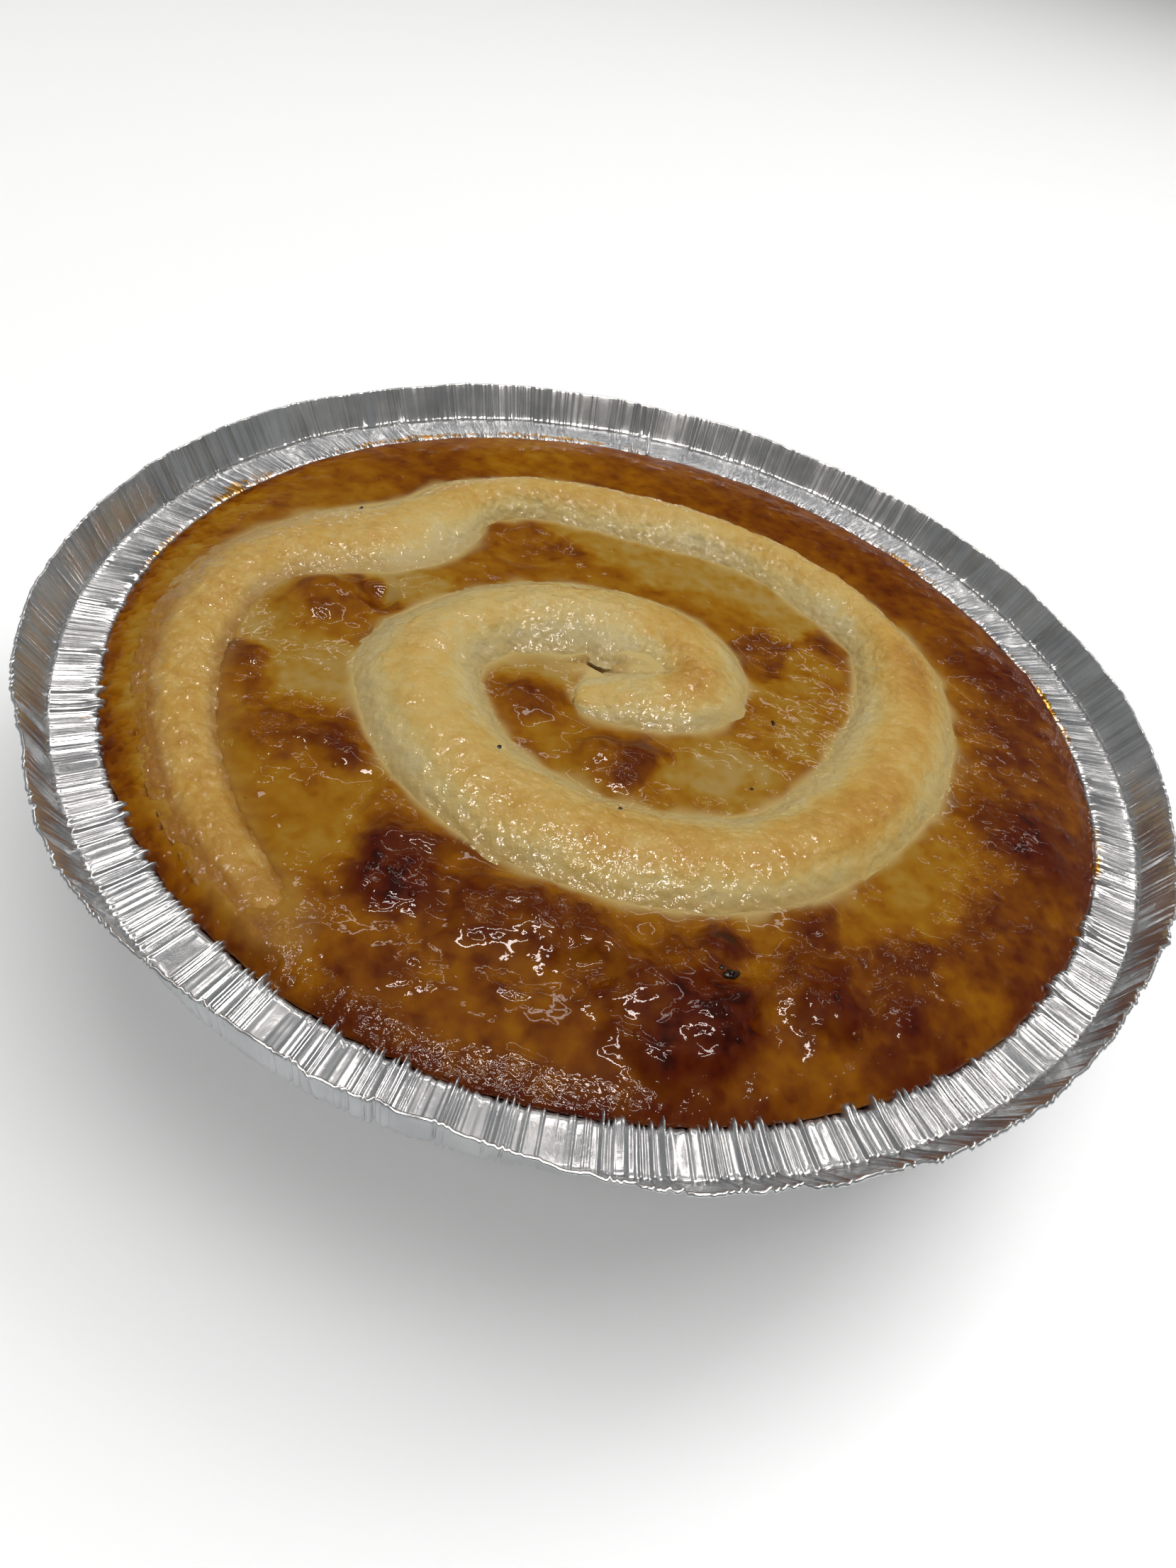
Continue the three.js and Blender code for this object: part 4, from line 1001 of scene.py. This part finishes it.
doughSteps = swellSteps("Swell", 2.0) + swellSteps("Grain", 3.0) + swellSteps("Crust", 3.0) + [
    ("poreScale", "DIVIDE", 1.0, "Pore Size"),       # the rope proves, blisters and wrinkles
    ("cells", "TexVoronoi", {"Scale": "poreScale"}),
    ("pit", "MapRange", ["cells.Distance", 0.05, 0.3, -1.0, 0.0], eased),
    ("pore", "MULTIPLY", "pit", "Pore Depth"),
    ("stretched", "VectorMath", ["along", (0.1, 1.0, 1.0)], {"operation": "MULTIPLY"}),
    ("lines", "TexNoise", {"Vector": "stretched", "Scale": 1 / 0.0012, "Detail": 1.0}),
    ("lineOff", "SUBTRACT", "lines", 0.5), ("lineTwice", "MULTIPLY", "Wrinkle Height", 2.0),
    ("line", "MULTIPLY", "lineOff", "lineTwice"), ("wrinkle", "MULTIPLY", "line", "wrinkled"),
    ("holeSize", "MULTIPLY", "Crust Size", 0.7), ("holeScale", "DIVIDE", 1.0, "holeSize"),
    ("hollow", "TexNoise", {"Scale": "holeScale", "Detail": 2.0}),
    ("holes", "MapRange", ["hollow", 0.36, 0.46, -0.45, 0.0], eased),
    ("knobs", "MULTIPLY_ADD", "holes", "Crust Height", "Crust"),
    ("crust", "MULTIPLY", "knobs", "crusty"), ("soft", "ADD", "Swell", "Grain"),
    ("fine", "ADD", "pore", "wrinkle"), ("both", "ADD", "soft", "fine"),
    ("total", "ADD", "both", "crust"), ("normal", "GeometryNodeInputNormal", {}),
    ("out", "VectorMath", {"Vector": "normal", "Scale": "total"}, {"operation": "SCALE"}),
    ("pitted", "ADD", "Grain", "pore"), ("skin", "ADD", "pitted", "crust"),
    ("noted", "GeometryNodeStoreNamedAttribute", {"Geometry": "Geometry", "Name": "grainy",
                                                  "Value": "skin"}, atPoints),
    ("moved", "GeometryNodeSetPosition", {"Geometry": "noted", "Offset": "out"}),
]


def ovenDough():
    # enriched wheat dough, steamed pale where it lay in the custard and gilded on top: soft crumb
    # under a thin crinkled film of syrup, stained where it meets the custard
    return newMaterial("ovenDough", [
        ("mottle", "TexNoise", {"Scale": 1 / 0.0035, "Detail": 6.0, "Roughness": 0.68}),
        ("shift", "MapRange", {"Value": "mottle", "To Min": -0.3, "To Max": 0.3}),
        ("tops", "MULTIPLY_ADD", "grainy", 420.0, "shift"), ("bake", "ADD", "golden", "tops"),
        ("tone", "ValToRGB", {"Fac": "bake"}),
        ("stained", "Mix", {"Factor_Float": "stain", "A_Color": "tone",
                            "B_Color": toLinear("#9a7c3e")}, rgba),
        ("colour", "Mix", {"Factor_Float": "scorch", "A_Color": "stained.Result_Color",
                           "B_Color": toLinear("#87581a")}, rgba),
        ("patches", "TexNoise", {"Scale": 1 / 0.005, "Detail": 2.0}),
        ("patchy", "MapRange", ["patches", 0.3, 0.48]), ("coat", "MULTIPLY", "dewy", "patchy"),
        ("film", "MapRange", {"Value": "coat", "From Max": 0.35}),
        ("grain", "TexNoise", {"Scale": 1 / 0.0009, "Detail": 3.0}),
        ("relief", "Bump", {"Height": "grain", "Distance": 0.0003, "Strength": 0.8}),
        ("folds", "TexNoise", {"Scale": 1 / 0.0024, "Detail": 1.6}),
        ("crinkle", "Bump", {"Height": "folds", "Distance": 0.0013, "Strength": 1.0}),
    ], {"Base Color": "colour.Result_Color", "IOR": 1.4, "Specular IOR Level": 0.12, "Roughness": 0.5,
        "Subsurface Weight": 0.15, "Subsurface Radius": (1.0, 0.6, 0.3), "Subsurface Scale": 0.0018,
        "Coat Roughness": 0.035, "Coat IOR": 1.4, "Coat Weight": "film", "Coat Normal": "crinkle",
        "Normal": "relief"}, "grainy golden stain scorch dewy", [
        (0.0, "#b1a174"), (0.2, "#b6a169"), (0.4, "#b69957"), (0.6, "#b08b42"),
        (0.8, "#a67a30"), (1.0, "#93661f")])


dough = makeDough()
values = {**rope["relief"], "Material": ovenDough()}
runTree(dough, newTree("proveDough", values, "along wrinkled crusty", doughSteps), values)
finishPiece(dough, "dough", "dough_spiral")
print("made dough", len(dough.data.polygons), "faces")


# specks: a flake of burnt sugar and a few grains that stick to the skin

specks = [                           # x, y, length, how long for its width, turn
    (29.3, -75.1, 3.0, 1.6, 25), (27.6, -74.2, 1.0, 1.2, 70), (32.3, -6.5, 1.5, 2.2, 110),
    (-19.3, -38.3, 1.1, 1.4, 60), (5.3, -46.1, 0.8, 1.1, 0), (29.4, -28.0, 0.8, 1.3, 20),
    (-68.5, 31.5, 1.2, 1.5, 80),
]


def makeSpecks():
    graph = bpy.context.evaluated_depsgraph_get()
    rows, columns = 7, 14
    tilt = np.linspace(-np.pi / 2, np.pi / 2, rows + 2)[1:-1, None]
    angle = np.arange(columns)[None] * 2 * np.pi / columns
    points, faceSets = [], []
    for k, (x, y, length, slim, turn) in enumerate(specks):
        above = Vector((x * mm, y * mm, 0.1))
        top = max((hit[1].z for hit in (body.ray_cast(above, Vector((0, 0, -1)), depsgraph=graph)
                                        for body in (flan, dough)) if hit[0]), default=0.045) / mm
        jagged = 1 + 0.45 * softNoise(3 * np.cos(angle) + tilt, 3 * np.sin(angle) - tilt, 1.3, 80 + k)
        wide = length / 2 * np.cos(tilt) * jagged
        a, b = wide * np.cos(angle), wide / slim * np.sin(angle)
        c, s = math.cos(math.radians(turn)), math.sin(math.radians(turn))
        high = 0.18 * length * np.sin(tilt) + 0 * a
        ring = np.stack([x + c * a - s * b, y + s * a + c * b, top + 0.06 * length + high], -1)
        start = sum(len(p) for p in points)
        ends = [[x, y, top - 0.12 * length], [x, y, top + 0.24 * length]]
        points.append(np.concatenate([ring.reshape(-1, 3), ends]))
        first = start + np.arange(columns)
        faceSets += [gridFaces(rows, columns) + start, fanFaces(first, start + rows * columns)[:, ::-1],
                     fanFaces(first + (rows - 1) * columns, start + rows * columns + 1)]
    piece = makePiece("burntSpecks", np.concatenate(points), faceSets, {})
    burnt = {"Base Color": toLinear("#1d0f08"), "Roughness": 0.35}
    piece.data.materials.append(newMaterial("burntSugar", [], burnt))    # carbon: black, a dull sheen
    finishPiece(piece, "custard")
    print("made specks", len(piece.data.polygons), "faces")


makeSpecks()


# table and light: a white cloth, a room that is paler behind the pan, and four tubes overhead

studio = {
    "cloth": "#f8f8f8", "clothReach": 4.0, "clothHeight": -0.0002,       # it clears the pan's base
    "air": [(0.0, "#68655d"), (0.35, "#6e6e6c"), (0.6, "#8a8a8a"), (0.76, "#888888"),
            (0.86, "#8c8c8a"), (0.94, "#625f57"), (1.0, "#55524a")],
    # x, y, height, length, width, watts
    "tubes": [(0.0, -0.16, 0.95, 0.6, 0.045, 6.0), (0.0, 0.42, 0.95, 1.0, 0.04, 2.1),
              (0.0, 1.15, 0.95, 2.0, 0.05, 2.9), (0.0, -0.45, 0.95, 0.6, 0.045, 4.5)],
    "tubeColour": "#fff4ee",
    "boxes": {                       # place, size, watts
        "softBox": ((0.8, 1.0, 1.5), 0.9, 13.0), "overBox": ((0.15, 0.1, 1.5), 1.2, 13.0),
        "fillBox": ((-0.5, -1.6, 1.4), 1.6, 18.5)},
}


def addLight(name, place, size, watts, colour="#ffffff", glints=True, fills=True):
    lamp = bpy.data.lights.new(name, "AREA")
    lamp.shape = "RECTANGLE"
    lamp.size, lamp.size_y = size
    lamp.energy = watts
    lamp.color = toLinear(colour)[:3]
    light = linkNew(bpy.data.objects.new(name, lamp))
    light.location = place
    light.visible_glossy, light.visible_diffuse = glints, fills
    light.rotation_euler = (Vector((place[0] if glints else 0, place[1] if glints else 0, 0.04))
                            - Vector(place)).to_track_quat("-Z", "Y").to_euler()


def makeStudio():
    mesh = bpy.data.meshes.new("tableCloth")
    corners = [(a * studio["clothReach"], b * studio["clothReach"], studio["clothHeight"])
               for a, b in ((-1, -1), (1, -1), (1, 1), (-1, 1))]
    mesh.from_pydata(corners, [], [(0, 1, 2, 3)])
    cotton = {"Base Color": toLinear(studio["cloth"]), "Roughness": 0.9, "Specular IOR Level": 0.1}
    mesh.materials.append(newMaterial("whiteCloth", [], cotton))
    linkNew(bpy.data.objects.new("tableCloth", mesh))
    world = bpy.data.worlds.new("air")
    world.use_nodes = True
    air = world.node_tree
    known = {"way": addNode(air, "ShaderNodeTexCoord").outputs["Generated"]}
    addSteps(air, known, [
        ("parts", "SeparateXYZ", {"Vector": "way"}),
        ("back", "MapRange", {"Value": "parts.Y", "From Min": -1.0}),
        ("tone", "ValToRGB", {"Fac": "back"})])
    setTones(known["tone"], studio["air"])
    setInputs(air.nodes["Background"], {"Color": known["tone"]})
    bpy.context.scene.world = world
    for k, (*place, long, wide, watts) in enumerate(studio["tubes"]):
        addLight(f"tube{k}", place, (long, wide), watts, studio["tubeColour"], fills=False)
    for name, (place, size, watts) in studio["boxes"].items():
        addLight(name, place, (size, size), watts, glints=False)
    bpy.context.scene.view_settings.view_transform = "Standard"


makeStudio()
